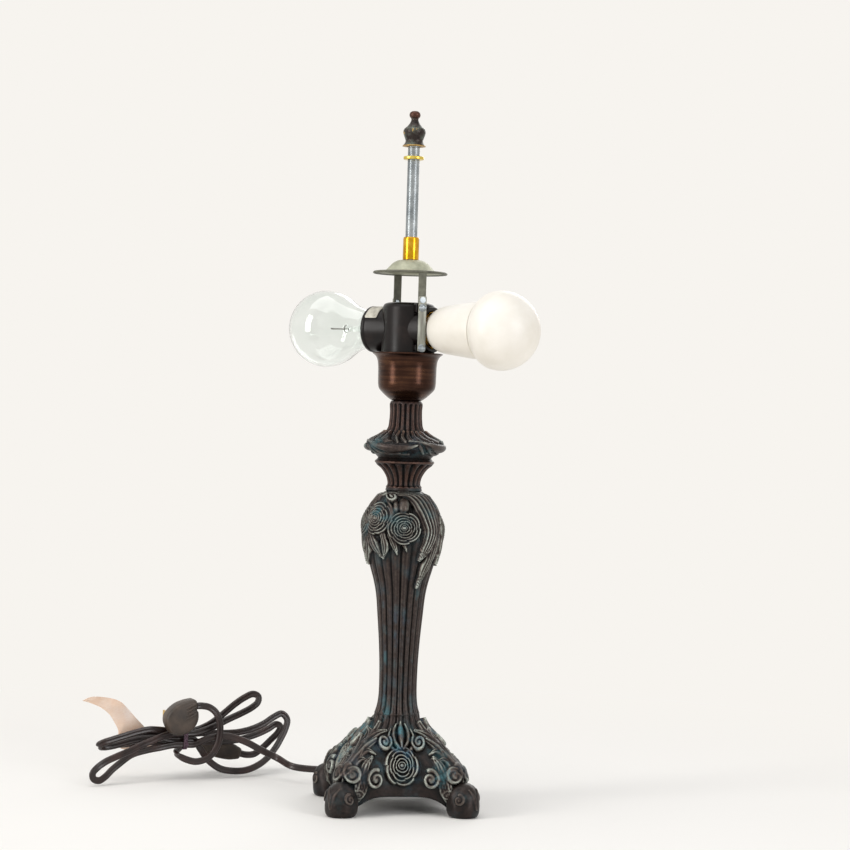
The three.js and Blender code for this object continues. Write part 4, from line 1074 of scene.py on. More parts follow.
# %% Feet
FOOT_AT = 46.3
FOOT_LINE = [(8.8, 0.0), (10.5, 0.5), (11.9, 3), (12.5, 8), (12.3, 13), (11.3, 18), (8.8, 22.2), (5.2, 24.8),
             (0.6, 26)]
foot_outline = np.concatenate([[[0.3, 0.0], [6, 0.0]], spline_through(FOOT_LINE, 110)])
foot_turn = np.linspace(0, 2 * math.pi, 150, endpoint=False)
for number, turn in enumerate((45, 135, 225, 315)):
    across, up = foot_outline[:, 0][:, None], foot_outline[:, 1][:, None]
    grid = np.stack([across * np.sin(foot_turn), -across * np.cos(foot_turn), up + 0 * foot_turn], -1)
    foot = Relief(grid)
    foot.height += 0.35 * np.sin(foot_turn * 3 + number) * np.sin(up / 26 * math.pi)
    foot.height += 0.25 * np.sin(foot_turn * 7 + number * 2) * np.sin(up / 13 * math.pi)
    foot.height -= 0.7 * np.clip(np.sin(foot_turn * 2 + number * 1.3) - 0.6, 0, 1) * np.sin(up / 26 * math.pi)
    for side in (-1, 1):
        foot.lay(turn + side * 78, (side * -1.5, 14), 9, volute(3.6, 1.3, 90, side, 1.4, 0.9))
        foot.lay(turn + side * 22, (0, 15), 14, stroke([(side * -4, -8), (side * -2.5, 0), (side * 1, 6)],
                                                       [0.8, 2.2, 0.8], 0.6))
    rising = np.clip((foot_outline[:, 1] - 1) / 3, 0, 1) * np.clip((26 - foot_outline[:, 1]) / 3, 0, 1)
    made = foot.made(f"foot_{number + 1}", 1, False, rising)
    a = math.radians(turn)
    settled(made, Matrix.Translation(Vector((math.sin(a), -math.cos(a), 0)) * FOOT_AT * math.sqrt(2) * MM))
    print(made.name, len(made.data.polygons), "faces")

# %% [markdown]
# The column swells into a bulge near its top. Reeds run up it, and the bulge has a rose on
# each side, two more roses set higher on opposite corners, and two big leaves that curl over
# at the other corners.

# %% The column casting


def round_grid(line, columns):
    """Grid points of a turned outline given as (height, radius)."""
    turn = np.linspace(0, 2 * math.pi, columns, endpoint=False)
    radius, z = line[:, 1][:, None], line[:, 0][:, None]
    return np.stack([radius * np.sin(turn), -radius * np.cos(turn), z + 0 * turn], -1), turn


def reeds(turn, count, depth, shares, sharp=0.45):
    """Rounded reeds with narrow grooves between them, as heights below the surface."""
    groove = 1 - np.abs(np.cos(turn * count / 2)) ** sharp
    return -depth * groove[None, :] * shares[:, None]


REEDS = 20
COLUMN_LINE = [(72, 17.5), (77, 16), (85, 15), (104, 14.9), (124, 15.8), (146, 17.6), (164, 19.4),
               (174, 21.5),
               (184, 24.4), (194, 27.0), (206, 28.4), (219, 27.2), (229, 23.8), (236, 19.0), (243.5, 13.2)]
outline = np.concatenate([spline_through(COLUMN_LINE, 292), [[243.5, PIPE_HOLE], [72, PIPE_HOLE]]])
points, turn_of = round_grid(outline, 320)
column = Relief(points)
rise = outline[:, 0]
column.height += reeds(turn_of, REEDS, 2.3, np.clip((242 - rise) / 10, 0.0, 1))
column.height -= 0.3 * np.clip(np.sin(turn_of * 3.0 + 0.7), 0, 1)[None, :] * np.clip((rise - 76) / 10, 0,
    1)[:, None]
column.height += 0.07 * np.sin(turn_of * 47 + 3 * np.sin(turn_of * 3))[None, :] * np.clip((rise - 76) / 10,
    0, 1)[:, None]
VIEWED = -8.3
lay = column.lay
for turn in (0, 180):
    seen_from = turn + VIEWED
    lay(seen_from, (-22, 201), 16, leaf([(-1, 9), (2, 1), (8, -8)], [2.4, 3.4, 0.6], 2.6, 3, 3))
    lay(seen_from, (-13, 201), 16, leaf([(-1, 9), (1, 0), (0, -9)], [2.4, 3.2, 0.6], 2.7, 3, 3))
    lay(seen_from, (-6, 203), 14, leaf([(-3, 7), (0, 1), (3, -7)], [1.8, 2.8, 0.6], 2.9, 3, 3))
    lay(seen_from, (2, 204), 12, leaf([(-1, 5), (0, 0), (2, -6)], [1.6, 2.2, 0.5], 2.2, 2, 2))
    lay(seen_from, (0, 0), 300, leaf([(-13.6, 241), (-19.4, 237), (-25.2, 228)], [1.6, 3.0, 1.0], 3.0, 3, 3))
    lay(seen_from, (0, 0), 300, stroke([(-11.2, 235), (-7.5, 228), (-7.9, 219)], [1.2, 2.0, 1.0], 3.2))
    lay(seen_from, (0.6, 231.4), 10, knob(4.2, 6.2, 4.6))
    lay(seen_from, (-4.8, 230.8), 9, knob(2.3, 5.0, 4.0))
    lay(seen_from, (0, 0), 300, leaf([(-6, 240.4), (3, 241), (10, 237.4), (15.6, 230.6), (19.4, 222),
                                      (21.4, 213.6),
                                      (20.3, 206.6), (17, 199), (12.7, 192)],
                                      [2.4, 4.0, 5.4, 6.4, 6.0, 5.2, 4.8, 3.8, 0.8],
                                     4.6, 0, 6, 90))
    lay(seen_from, (-7.2, 236.9), 8, volute(3.6, 1.4, 60, 1, 1.5, 5.4))
    corner = turn + 50
    lay(corner, (0, 219), 60, leaf([(-2, 21), (1, 10), (0, -5), (-3, -20), (-7, -36), (-9, -48)],
                                   [2.2, 5.4, 6.4, 5.6, 3.6, 0.8], 4.0, 5, 5, 80))
    lay(corner, (10, 219), 50, leaf([(-3, 20), (2, 10), (3, -4), (0, -18), (-4, -30)],
                                    [1.8, 4.4, 5.2, 4.4, 0.8],
                                    3.4, 4, 4, 70))
    lay(corner, (19, 214), 40, leaf([(-4, 20), (1, 10), (2, -4), (-1, -16)], [1.6, 3.4, 3.8, 0.8], 2.8, 4, 3))
for turn in (128, 308):
    column.lay(turn, (0, 221.4), 17, rose(13.0, 5.0, 20))
for turn in (90, 270):
    for side in (-1, 1):
        column.lay(turn, (7, 199), 24, leaf([(0, 10), (2, 1), (-2, -12)], [2.4, 3.6, 0.6], 2.4, 4, 3), side)
for turn, height in ((-5, 215.3), (90, 215), (175, 215.3), (270, 219.4)):
    column.lay(turn, (0, height), 17, rose(13.0, 5.2, turn * 0.7))
lift = np.concatenate([np.clip(np.linspace(0, 90, 292), 0, 1) * np.clip(np.linspace(24, 0, 292), 0, 1),
                       [0, 0]])
streak = np.clip(np.sin(turn_of * 10 + 1.2) * np.sin(turn_of * 3 + 0.4), 0, 1)[None, :]
column.stain[:] = 0.55 * streak * np.clip((205 - rise) / 60, 0, 1)[:, None]
foot_patch = np.exp(-((np.degrees(turn_of) - 322) / 24) ** 2)
column.stain += 1.1 * foot_patch[None, :] * np.exp(-((rise - 72) / 8) ** 2)[:, None]
rose_band = np.clip(np.cos(turn_of + 0.95), 0, 1) ** 6 + 0.35 * np.clip(np.cos(turn_of - 0.6), 0, 1) ** 4
column.stain += 1.1 * rose_band[None, :] * np.exp(-((rise - 226) / 11) ** 2)[:, None]
column_piece = column.made("column_casting_relief", 1, True, lift)
print("column", len(column_piece.data.polygons), "faces")

# %% [markdown]
# Over the column stand a small fluted urn and a leafy collar with the lamp's fluted neck. The
# collar's edge is irregular, because its leaves overlap and curl by different amounts.

# %% Urn and collar
URN_LINE = [(243.5, 14.2), (247.7, 12.7), (252, 13.2), (256, 15), (260, 18), (263, 21.5), (265.5, 22.2),
            (268, 20.6)]
COLLAR_LINE = [(268, 20.2), (270, 22), (272.5, 24.8), (275.5, 28.4), (278.6, 29.4), (281.6, 26.2),
               (284.8, 20.4),
               (288, 16.0), (291.5, 13.6), (297, 12.7), (304, 12.4), (310, 12.6), (312, 11.6)]
outline = np.concatenate([spline_through(URN_LINE, 90), [[268, PIPE_HOLE], [243.5, PIPE_HOLE]]])
points, turn_of = round_grid(outline, 288)
urn = Relief(points)
rise = outline[:, 0]
urn.height += reeds(turn_of, 18, 2.0, np.clip((rise - 245) / 3, 0, 1) * np.clip((264.5 - rise) / 2, 0, 1),
                    1.0)
urn.height += (0.7 * np.exp(-((rise - 265.2) / 1.0) ** 2) + 0.6 * np.exp(-((rise - 246) / 0.9) ** 2))[:, None]
lift = np.concatenate([np.clip(np.linspace(0, 12, 90), 0, 1) * np.clip(np.linspace(12, 0, 90), 0, 1), [0, 0]])
urn.stain[:] = 0.1
urn_piece = urn.made("urn_relief", 1, True, lift)

outline = np.concatenate([spline_through(COLLAR_LINE, 170), [[312, PIPE_HOLE], [268, PIPE_HOLE]]])
points, turn_of = round_grid(outline, 352)
collar = Relief(points)
rise = outline[:, 0]
collar.height += reeds(turn_of, 18, 2.0, np.clip((rise - 286) / 4, 0, 1) * np.clip((311 - rise) / 2, 0, 1),
                       1.0)
wave = 0.8 * np.abs(np.cos(turn_of * 5)) ** 0.7 + 0.8 * np.cos(turn_of * 2 + 0.6) - 0.4
collar.height += wave[None, :] * np.exp(-((rise - 277.5) / 3.2) ** 2)[:, None]
for k in range(4):
    seen_from = k * 90 + VIEWED
    collar.lay(seen_from, (0, 0), 300, leaf([(-27, 280), (-19, 277.6), (-9, 276.2), (2, 277), (9, 278.4)],
                                            [0.8, 2.4, 3.3, 2.4, 0.6], 2.6, 0, 1))
    for across, width in ((-7, 1.3), (-2, 1.5), (3, 1.6), (8, 1.6), (13, 1.5), (18, 1.3)):
        collar.lay(seen_from, (0, 0), 300, stroke([(across * 0.62, 288), (across * 0.9, 284),
            (across * 1.2 + 3, 280.4)],
                                                  [width * 0.7, width, width * 0.8], 1.6))
    for across in (12, 17.5, 23):
        collar.lay(seen_from, (0, 0), 300, stroke([(across - 3, 280.5), (across, 277), (across + 1.6, 273.4)],
                                                  [1.0, 1.9, 1.2], 1.7))
    collar.lay(seen_from, (0, 0), 300, stroke([(-20, 273.6), (-9, 271.6), (3, 272)], [0.7, 1.2, 0.7], 1.2))
lift = np.concatenate([np.clip(np.linspace(0, 10, 170), 0, 1) * np.clip(np.linspace(16, 0, 170), 0, 1),
                       [0, 0]])
collar.stain[:] = 0.06 + 0.4 * np.exp(-((rise - 278) / 5) ** 2)[:, None]
collar_piece = collar.made("collar_relief", 1, True, lift)
print("urn and collar", len(urn_piece.data.polygons) + len(collar_piece.data.polygons), "faces")

# %% [markdown]
# The finish is old cast metal, coloured by how far each point stands out of the relief: almost
# black in the hollows, as patina with painted shade, brown over the middle heights, rubbed
# grey-green on the ridges, as wear with a painted highlight, and teal and blue verdigris in
# patches. The urn and the fluted neck are a warmer brown.

# %% Old bronze
bronze = Paint("old_cast_bronze", Metallic=0.55, Roughness=0.5)
crest = bronze.attribute("crest")
stain = bronze.attribute("stain")
clouds = bronze.noise(38, 6)
speckle = bronze.noise(420, 5)
patches = bronze.noise(70, 5, roughness=0.65)
# Crest ramp: the low near-black stops are patina with painted shade in the grooves, the pale top stops are
# wear with a painted highlight on the ridges.
base_colour = bronze.colours(crest * 0.92 + speckle * 0.3 - 0.12, [
    (0.18, tone("030202")), (0.34, tone("100b0a")), (0.47, tone("2a201d")), (0.62, tone("4a403a")),
    (0.76, tone("6c6b64")),
    (0.9, tone("a4a89f"))])
up_bronze = bronze.node("ShaderNodeSeparateXYZ", {}, [bronze.place()], 2)
on_neck = up_bronze.ramp(0.284, 0.290) + up_bronze.ramp(0.2440, 0.2455) * (1.0 - up_bronze.ramp(0.266, 0.269))
# The urn and neck take the same ramp in warmer browns, with the same painted shade and highlight.
warm_colour = bronze.colours(crest * 0.92 + speckle * 0.3 - 0.12, [
    (0.18, tone("040202")), (0.34, tone("140b09")), (0.47, tone("2f1d18")), (0.62, tone("533a2f")),
    (0.76, tone("826a59")),
    (0.9, tone("b8a28c"))])
base_colour = bronze.mix(on_neck.clamped(), base_colour, warm_colour)
teal = bronze.colours(clouds, [(0.35, tone("1f4a50")), (0.5, tone("3d7f8a")), (0.6, tone("2f5f80")),
                               (0.75, tone("62aaa8"))])
green_places = patches.ramp(0.45, 0.68) * (stain * 0.85 + 0.1) * (crest * 0.6 + 0.45)
green_amount = (green_places * (1.0 - on_neck * 0.6)).clamped()
bronze.set(Base_Color=bronze.mix(green_amount, base_colour, teal))
bronze.set(Roughness=(green_amount * 0.3 + speckle * 0.25 + 0.28).clamped())
bronze.set(Metallic=(0.55 - green_amount * 0.5).clamped())
bronze.bump(bronze.noise(900, 6), 0.28, 0.0004)
dress(skirt, bronze, "lamp", "cast_bronze", "base_casting")
for number in range(4):
    dress(ALL_PIECES[f"foot_{number + 1}"], bronze, "lamp", "cast_bronze")
dress(column_piece, bronze, "lamp", "cast_bronze", "column_casting")
dress(urn_piece, bronze, "lamp", "cast_bronze", "urn_neck_casting")
dress(collar_piece, bronze, "lamp", "cast_bronze", "collar_neck_casting")
print("castings dressed")

# %% [markdown]
# The brass, copper, phenolic and plastic parts are turned forms with soft edges. An outline is
# rounded at its corners and turned round an axis; the parts of the cluster and the bulbs turn
# round the slanting barrel axis, so their outlines are made upright and then laid over.

# %% Turned parts
CLUSTER_HEIGHT = 367
CLUSTER_TURN = 49


def lathe(name, outline, radius=0.6, segments=128, matrix=None, steps=3):
    points, faces = turned(rounded(outline, radius, steps) if radius else outline, segments)
    if matrix:
        points = moved(points, matrix)
    return outward(piece(name, points, faces))


def lying(turn):
    """A frame whose Z axis points out at a compass direction and whose Y axis is up."""
    a = math.radians(turn)
    out = Vector((math.sin(a), -math.cos(a), 0))
    up = Vector((0, 0, 1))
    matrix = Matrix((up.cross(out), up, out)).transposed().to_4x4()
    matrix.translation = Vector((0, 0, CLUSTER_HEIGHT * MM))
    return matrix


cup = lathe("spun_cup", [
    (PIPE_HOLE, 312), (11, 312), (14.8, 314.6), (18.6, 318), (21.6, 321.2), (22.3, 325), (22.5, 338),
    (23, 343),
    (24.4, 346.2), (27, 348.2), (27.2, 348.8), (26.8, 349.2), (26.0, 348.8), (23.5, 347), (22, 343.4),
    (21.5, 338),
    (21.3, 325.4), (20.7, 322), (18, 319.2), (14.2, 315.8), (10.8, 313.2), (PIPE_HOLE, 313.2)], 1.6)
copper = Paint("spun_copper_brown", Metallic=0.9, Roughness=0.36)
spin = copper.noise(26, 6, stretch=(1.0, 1.0, 14.0))
wear = copper.noise(60, 6)
copper.set(Base_Color=copper.colours(wear * 0.4 + spin * 0.6, [
    (0.3, tone("1c110c")), (0.5, tone("38231a")), (0.66, tone("533828")), (0.8, tone("7d5c44"))]))
copper.set(Roughness=(wear * 0.1 + spin * 0.1 + 0.16).clamped())
copper.bump(spin, 0.12, 0.0003)
dress(cup, copper, "lamp", "copper_cup", "socket_cup")
print("cup dressed")

# %% [markdown]
# The shade rod has a fine thread that is worn nearly flat. The shade rests on the ring, and a
# plain brass coupling stands between the rod and the cap.

# %% The threaded rod and ring
ROD_PITCH = 1.27


def threaded(name, core, crest_radius, low, high, pitch, segments=48, steps=8, ends=1.2):
    """A rod whose surface rises and falls with the angle as well as the height: a real helix."""
    rows = round((high - low) / pitch * steps) + 1
    points = [(0, 0, low)]
    for i in range(rows):
        z = low + (high - low) * i / (rows - 1)
        fade = min(1, (z - low) / ends, (high - z) / ends)
        for k in range(segments):
            turn = k / segments
            phase = ((z - low) / pitch - turn) % 1
            tooth = 0.5 - 0.5 * math.cos(2 * math.pi * phase)
            r = core + (crest_radius - core) * (tooth * 0.9 + 0.1) * max(0, fade)
            points.append((r * math.cos(turn * 2 * math.pi), r * math.sin(turn * 2 * math.pi), z))
    points.append((0, 0, high))
    faces = grid_faces(rows, segments, 1)
    last = 1 + (rows - 1) * segments
    for k in range(segments):
        j = (k + 1) % segments
        faces += [[0, 1 + j, 1 + k], [len(points) - 1, last + k, last + j]]
    return outward(piece(name, [Vector(p) * MM for p in points], faces))


rod = threaded("threaded_shade_rod", 4.52, 4.66, 412, 513, ROD_PITCH)
steel = Paint("zinc_grey_steel", Metallic=0.9, Roughness=0.42)
dust = steel.noise(120, 6)
steel.set(Base_Color=steel.colours(dust, [
    (0.3, tone("70767a")), (0.5, tone("8a9093")), (0.72, tone("a3a8aa"))]))
steel.set(Roughness=(dust * 0.16 + 0.24).clamped())
steel.bump(steel.noise(1100, 4), 0.02, 0.0002)
dress(rod, steel, "lamp", "steel", "shade_rod")

ring = lathe("rest_ring", [(4.9, 497.5), (7.9, 497.5), (7.9, 500), (4.9, 500)], 0.7)
coupling = lathe("brass_coupling", [
    (5, 420.6), (6.2, 420.6), (6.2, 436.6), (6.0, 437.4), (5.8, 438), (5, 438)], 0.35)
brass = Paint("bright_brass", Metallic=1.0, Roughness=0.22)
tarnish = brass.noise(140, 6)
brass.set(Base_Color=brass.colours(tarnish, [
    (0.25, tone("9c7012")), (0.48, tone("c4901e")), (0.72, tone("dead40"))]))
brass.set(Roughness=(tarnish * 0.16 + 0.14).clamped())
brass.bump(brass.noise(800, 4), 0.1, 0.0002)
pale_brass = Paint("pale_brass_ring", Metallic=1.0, Roughness=0.24)
pale_brass.set(Base_Color=pale_brass.colours(pale_brass.noise(300, 5), [
    (0.3, tone("b89a3c")), (0.5, tone("d6bd58")), (0.72, tone("eadb88"))]))
pale_brass.bump(pale_brass.noise(900, 4), 0.1, 0.0002)
dress(ring, pale_brass, "lamp", "brass", "shade_rest_ring")
dress(coupling, brass, "lamp", "brass", "dome_coupling")
print("rod, ring and coupling dressed")

# %% [markdown]
# The stamped cap is a low dome with a broad rim that is rolled at its edge. Two tabs are bent
# down from the rim, and the steel bars of the bracket are riveted to them.

# %% Dome cap
cap = lathe("stamped_cap", [
    (5.4, 420.5), (9.6, 420.2), (13.6, 418), (17.2, 414), (19.4, 411.9), (27.6, 411.5), (28.5, 410.9),
    (28.7, 410.2),
    (28.3, 409.6), (27.6, 409.4), (27.2, 410), (19, 410.6), (16.4, 412.9), (12.9, 416.8), (9.2, 418.9),
    (5.4, 419.2)],
    1.4, 144)
BAR_TURN = 12.5
SIDES = {"front": BAR_TURN, "back": BAR_TURN + 180}
RIVET_HEIGHT = 389
SCREW_HEIGHTS = {"upper": 383, "lower": 352.5}


def plate_with_holes(outline, holes, near, far, edge=0.25):
    """A plate between two depths with round holes; its faces are rings round each hole."""
    work = bmesh.new()
    layers = []
    for depth, inset in ((near, edge), (near + edge, 0), (far - edge, 0), (far, edge)):
        loops = []
        flat = shell(outline, [(depth, inset), (depth + 1, inset)])[0][:len(outline)]
        loops.append([work.verts.new((x, depth, z)) for x, _, z in flat])
        for cx, cz, r in holes:
            grow = inset * 0.6
            loops.append([work.verts.new((cx + (r + grow) * math.cos(t * math.pi / 12), depth,
                                          cz + (r + grow) * math.sin(t * math.pi / 12))) for t in range(24)])
        layers.append(loops)
    for low, high in zip(layers, layers[1:]):
        for a, b in zip(low, high):
            for i in range(len(a)):
                j = (i + 1) % len(a)
                work.faces.new((a[i], a[j], b[j], b[i]))
    for loops in (layers[0], layers[-1]):
        edges = []
        for loop in loops:
            for i in range(len(loop)):
                edges.append(work.edges.get((loop[i], loop[(i + 1) % len(loop)])))
        bmesh.ops.triangle_fill(work, use_beauty=True, edges=edges)
    bmesh.ops.recalc_face_normals(work, faces=work.faces)
    work.verts.index_update()
    points = [v.co.copy() for v in work.verts]
    faces = [[v.index for v in f.verts] for f in work.faces]
    work.free()
    return points, faces


def standing(turn):
    """A frame at a compass direction: X to the right as seen from there, Y away from the viewer."""
    return Matrix.Rotation(math.radians(turn), 4, "Z")


def upright_plate(name, turn, outline, holes, inner, outer):
    points, faces = plate_with_holes(rounded(outline, 1.2, 3), holes, -outer, -inner)
    return outward(piece(name, [standing(turn) @ (Vector(p) * MM) for p in points], faces, sharp=40))


grey_green = Paint("grey_green_cap", Metallic=0.25, Roughness=0.55)
cap_cloud = grey_green.noise(48, 6)
cap_spots = grey_green.noise(230, 5)
flat_place = grey_green.node("ShaderNodeVectorMath", {"operation": "MULTIPLY"},
                             [grey_green.place(), (1.0, 1.0, 0.0)])
rim_dark = grey_green.node("ShaderNodeVectorMath", {"operation": "LENGTH"}, [flat_place], 1).ramp(0.0225,
    0.0262)
tint = grey_green.colours(cap_cloud * 0.7 + cap_spots * 0.3, [
    (0.32, tone("757563")), (0.47, tone("9fa08a")), (0.62, tone("bdbda6")), (0.8, tone("d8d4c4"))])
grey_green.set(Base_Color=grey_green.mix(rim_dark * (0.5 + cap_spots * 0.6), tint, tone("3a382f")))
grey_green.set(Roughness=(cap_spots * 0.3 + 0.38).clamped())
grey_green.bump(grey_green.noise(700, 5), 0.2, 0.0003)
dress(cap, grey_green, "lamp", "verdigris_cap", "dome_cap")
for side, turn in SIDES.items():
    tab = upright_plate(f"cap_tab_{side}", turn, [(-3.1, 386), (3.1, 386), (3.1, 410.3), (-3.1, 410.3)],
                        [(0, RIVET_HEIGHT, 1.9)], 26.7, 27.8)
    dress(tab, grey_green, "lamp", "verdigris_cap")
print("cap dressed")

# %% [markdown]
# A flat bar runs up each side, with two holes for the screws and one for the rivet.

# %% The bracket bars
olive_steel = Paint("olive_bronze_strap", Metallic=0.75, Roughness=0.36)
drag = olive_steel.noise(40, 6, stretch=(6.0, 6.0, 1.0))
olive_steel.set(Base_Color=olive_steel.colours(drag, [
    (0.3, tone("4a4943")), (0.5, tone("74746b")), (0.7, tone("a0a299"))]))
olive_steel.set(Roughness=(drag * 0.3 + 0.22).clamped())
olive_steel.bump(drag, 0.2, 0.0003)
for side, turn in SIDES.items():
    bar_holes = [(0, height, 1.9) for height in (*SCREW_HEIGHTS.values(), RIVET_HEIGHT)]
    bar = upright_plate(f"strap_{side}", turn, [(-3.2, 350), (3.2, 350), (3.2, 392), (-3.2, 392)], bar_holes,
                        28.1, 29.3)
    dress(bar, olive_steel, "lamp", "steel", f"bracket_bar_{side}")
print("straps dressed")

# %% [markdown]
# The four screws are the same, and so are the two rivets. Geometry Nodes makes one head, a flat
# dome over a disc and a shank with a slot cut across it, and repeats it up the strap. The
# rivets' slot is too narrow to show.

# %% Screws and rivets by Geometry Nodes


def screw_tree(name, head_radius, head_high, shank_radius, shank_long, slot_wide, paint, side, heights,
               reach):
    """A row of slotted heads up one strap: a dome with a cut slot over a disc and its shank."""
    tree = Tree(name, Count=len(heights), Spacing=(0.0, 0.0, (heights[-1] - heights[0]) * MM),
                Head=head_radius * MM)
    line = tree.add("GeometryNodeMeshLine", Count=tree.given("Count"), Offset=tree.given("Spacing"))
    disc = tree.add("GeometryNodeMeshCylinder", {}, Vertices=32, Radius=tree.given("Head"),
                    Depth=head_high * 0.5 * MM)
    dome = tree.add("GeometryNodeMeshUVSphere", {}, Segments=32, Rings=16, Radius=tree.given("Head"))
    flat = tree.add("GeometryNodeTransform", Geometry=dome.outputs[0],
                    Scale=(1.0, 1.0, head_high / head_radius))
    knife = tree.add("GeometryNodeMeshCube", Size=(head_radius * 3 * MM, slot_wide * MM,
        head_high * 1.2 * MM))
    knife_up = tree.add("GeometryNodeTransform", Geometry=knife.outputs[0],
                        Translation=(0.0, 0.0, head_high * MM))
    cut_head = tree.add("GeometryNodeMeshBoolean", {"operation": "DIFFERENCE"})
    tree.tree.links.new(flat.outputs[0], cut_head.inputs[0])
    tree.tree.links.new(knife_up.outputs[0], cut_head.inputs[1])
    shank = tree.add("GeometryNodeMeshCylinder", {}, Vertices=20, Radius=shank_radius * MM,
                     Depth=shank_long * MM)
    shank_in = tree.add("GeometryNodeTransform", Geometry=shank.outputs[0],
                        Translation=(0.0, 0.0, -shank_long / 2 * MM))
    whole = tree.add("GeometryNodeJoinGeometry")
    for part in (cut_head, shank_in, disc):
        tree.tree.links.new(part.outputs[0], whole.inputs[0])
    turned_out = tree.add("GeometryNodeTransform", Geometry=whole.outputs[0],
                          Rotation=(math.pi / 2, 0.0, 0.0))
    placed = tree.add("GeometryNodeInstanceOnPoints", Points=line.outputs[0], Instance=turned_out.outputs[0])
    made = tree.made_into(name, placed.outputs[0], paint)
    start = Matrix.Translation((0, -reach * MM, heights[0] * MM))
    return settled(made, standing(SIDES[side]) @ start)


for side in SIDES:
    heads = screw_tree(f"strap_screws_{side}", 2.9, 1.6, 1.6, 11.0, 0.7, steel, side, [352.5, 383], 29.5)
    rivet = screw_tree(f"strap_rivet_{side}", 2.3, 1.0, 1.5, 3.0, 0.01, steel, side, [RIVET_HEIGHT], 29.5)
    dress(heads, steel, "lamp", "steel", f"bracket_screw_{side}_upper", f"bracket_screw_{side}_lower")
    dress(rivet, steel, "lamp", "steel", f"bracket_rivet_{side}")
    print(side, len(heads.data.polygons), len(rivet.data.polygons), "faces")

# %% [markdown]
# The cluster is moulded in black phenolic: an upright hub that stands in the cup, a barrel
# through it with a lamp holder bored into each end, and small lugs for the screws. The clear
# bulb's mouth has a raised bead. Two cylinders along the barrel cut the hub open for the holders.

# %% Cluster body
LED_INSET = 10.6
barrel = lathe("cluster_barrel", [
    (14.5, -2.4), (14.5, 22.2), (15.1, 22.9), (16.9, 22.9), (17.5, 22.2), (17.5, 10), (17.2, 8), (17.2, -12),
    (17.3, -30), (17.9, -30.6), (17.9, -32.8), (17.0, -33.5), (15.2, -33.5), (14.5, -32.6), (14.5, -8),
    (2.2, -8),
    (2.2, -2.4)], 0.5, 144, lying(CLUSTER_TURN))
hub = lathe("cluster_hub", [
    (0, 387.5), (15.6, 387.5), (19.0, 386.4), (20.5, 383.6), (20.5, 346), (19.2, 342), (19.2, 330),
    (18.2, 326.4), (5.3, 326), (5.3, 340), (0, 340)],
    1.2, 128)
bores = []
for start, end in ((-2.4, 30), (-8, -40)):
    low, high = sorted((start, end))
    bores.append(lathe("holder_bore", [(0, low), (14.5, low), (14.5, high), (0, high)], 0, 96,
                       lying(CLUSTER_TURN)))
for bore in bores:
    cut = hub.modifiers.new("bore", "BOOLEAN")
    cut.operation = "DIFFERENCE"
    cut.object = bore
bpy.context.view_layer.update()
hub_mesh = bpy.data.meshes.new_from_object(hub.evaluated_get(bpy.context.evaluated_depsgraph_get()))
hub.modifiers.clear()
hub.data = hub_mesh
for bore in bores:
    ALL_PIECES.pop(bore.name, None)
    bpy.data.objects.remove(bore)
print("hub", len(hub.data.polygons), "faces")
phenolic = Paint("black_phenolic_gloss", Roughness=0.3, Specular_IOR_Level=0.22)
haze = phenolic.noise(75, 6)
flecks = phenolic.noise(500, 5)
phenolic.set(Base_Color=phenolic.colours(haze * 0.8 + flecks * 0.2, [
    (0.3, tone("080606")), (0.55, tone("140e0d")), (0.8, tone("261d1a"))]))
phenolic.set(Roughness=(haze * 0.3 + flecks * 0.12 + 0.12).clamped())
phenolic.bump(phenolic.noise(240, 4), 0.08, 0.0003)
dress(barrel, phenolic, "lamp", "black_phenolic", "cluster_body")
dress(hub, phenolic, "lamp", "black_phenolic")
for side, turn in SIDES.items():
    for level, (low, high) in {"upper": (379.5, 386.5), "lower": (350, 355)}.items():
        lug_outline = rounded([(-3.7, low), (3.7, low), (3.7, high), (-3.7, high)], 1.2, 4)
        points, faces = shell(lug_outline, soft_edge(-26.4, -12, 0.6, 3))
        lug = outward(piece(f"cluster_lug_{side}_{level}",
                            [standing(turn) @ (Vector(p) * MM) for p in points], faces,
                            sharp=45))
        dress(lug, phenolic, "lamp", "black_phenolic")
print("cluster dressed")

# %% [markdown]
# The paper label is blank. It lies round the top left of the barrel, a little yellowed, with
# worn corners, so it is a thin curved sheet with rounded corners.

# %% Blank label


def curved_label(inner, outer, start, end, low, high, columns=40, rows=18):
    """A sheet round an axis between two angles in degrees and two heights, with round corners."""
    points = []
    for r in (inner, outer):
        for i in range(rows):
            for k in range(columns):
                x, y = k / (columns - 1) * 2 - 1, i / (rows - 1) * 2 - 1
                corner = 1 - 0.045 * (abs(x) ** 8 * abs(y) ** 8)
                a = math.radians((start + end) / 2 + (end - start) / 2 * x * corner)
                z = (low + high) / 2 + (high - low) / 2 * y * corner
                points.append((r * math.cos(a), r * math.sin(a), z))
    return points, sheet_faces(rows, columns)


label_points, label_faces = curved_label(17.62, 17.86, 98, 152, -30.6, -19.7)
label = outward(piece("blank_label", moved([Vector(p) * MM for p in label_points], lying(CLUSTER_TURN)),
                      label_faces,
                      sharp=60))
silver_paper = Paint("silver_cream_label", Roughness=0.45, Metallic=0.15)
rub = silver_paper.noise(180, 6)
silver_paper.set(Base_Color=silver_paper.colours(rub, [
    (0.28, tone("7d776c")), (0.45, tone("b9b4a6")), (0.7, tone("d8d4c6"))]))
silver_paper.bump(silver_paper.noise(600, 4), 0.2, 0.0002)
dress(label, silver_paper, "lamp", "paper", "cluster_label")
print("label dressed")

# %% [markdown]
# The bulbs are turned round the barrel's axis. Both have a screw cap whose thread is a real
# helix. The first has an opaque white housing under a milky globe. The second is clear
# glass with an inner wall, so that light bends at both, over a stem, two wires and a filament.

# %% Bulb screw caps
EDISON_PITCH = 3.629
OUT = {"led": lying(CLUSTER_TURN), "clear": lying(CLUSTER_TURN + 180)}
INSET = {"led": LED_INSET, "clear": 0}


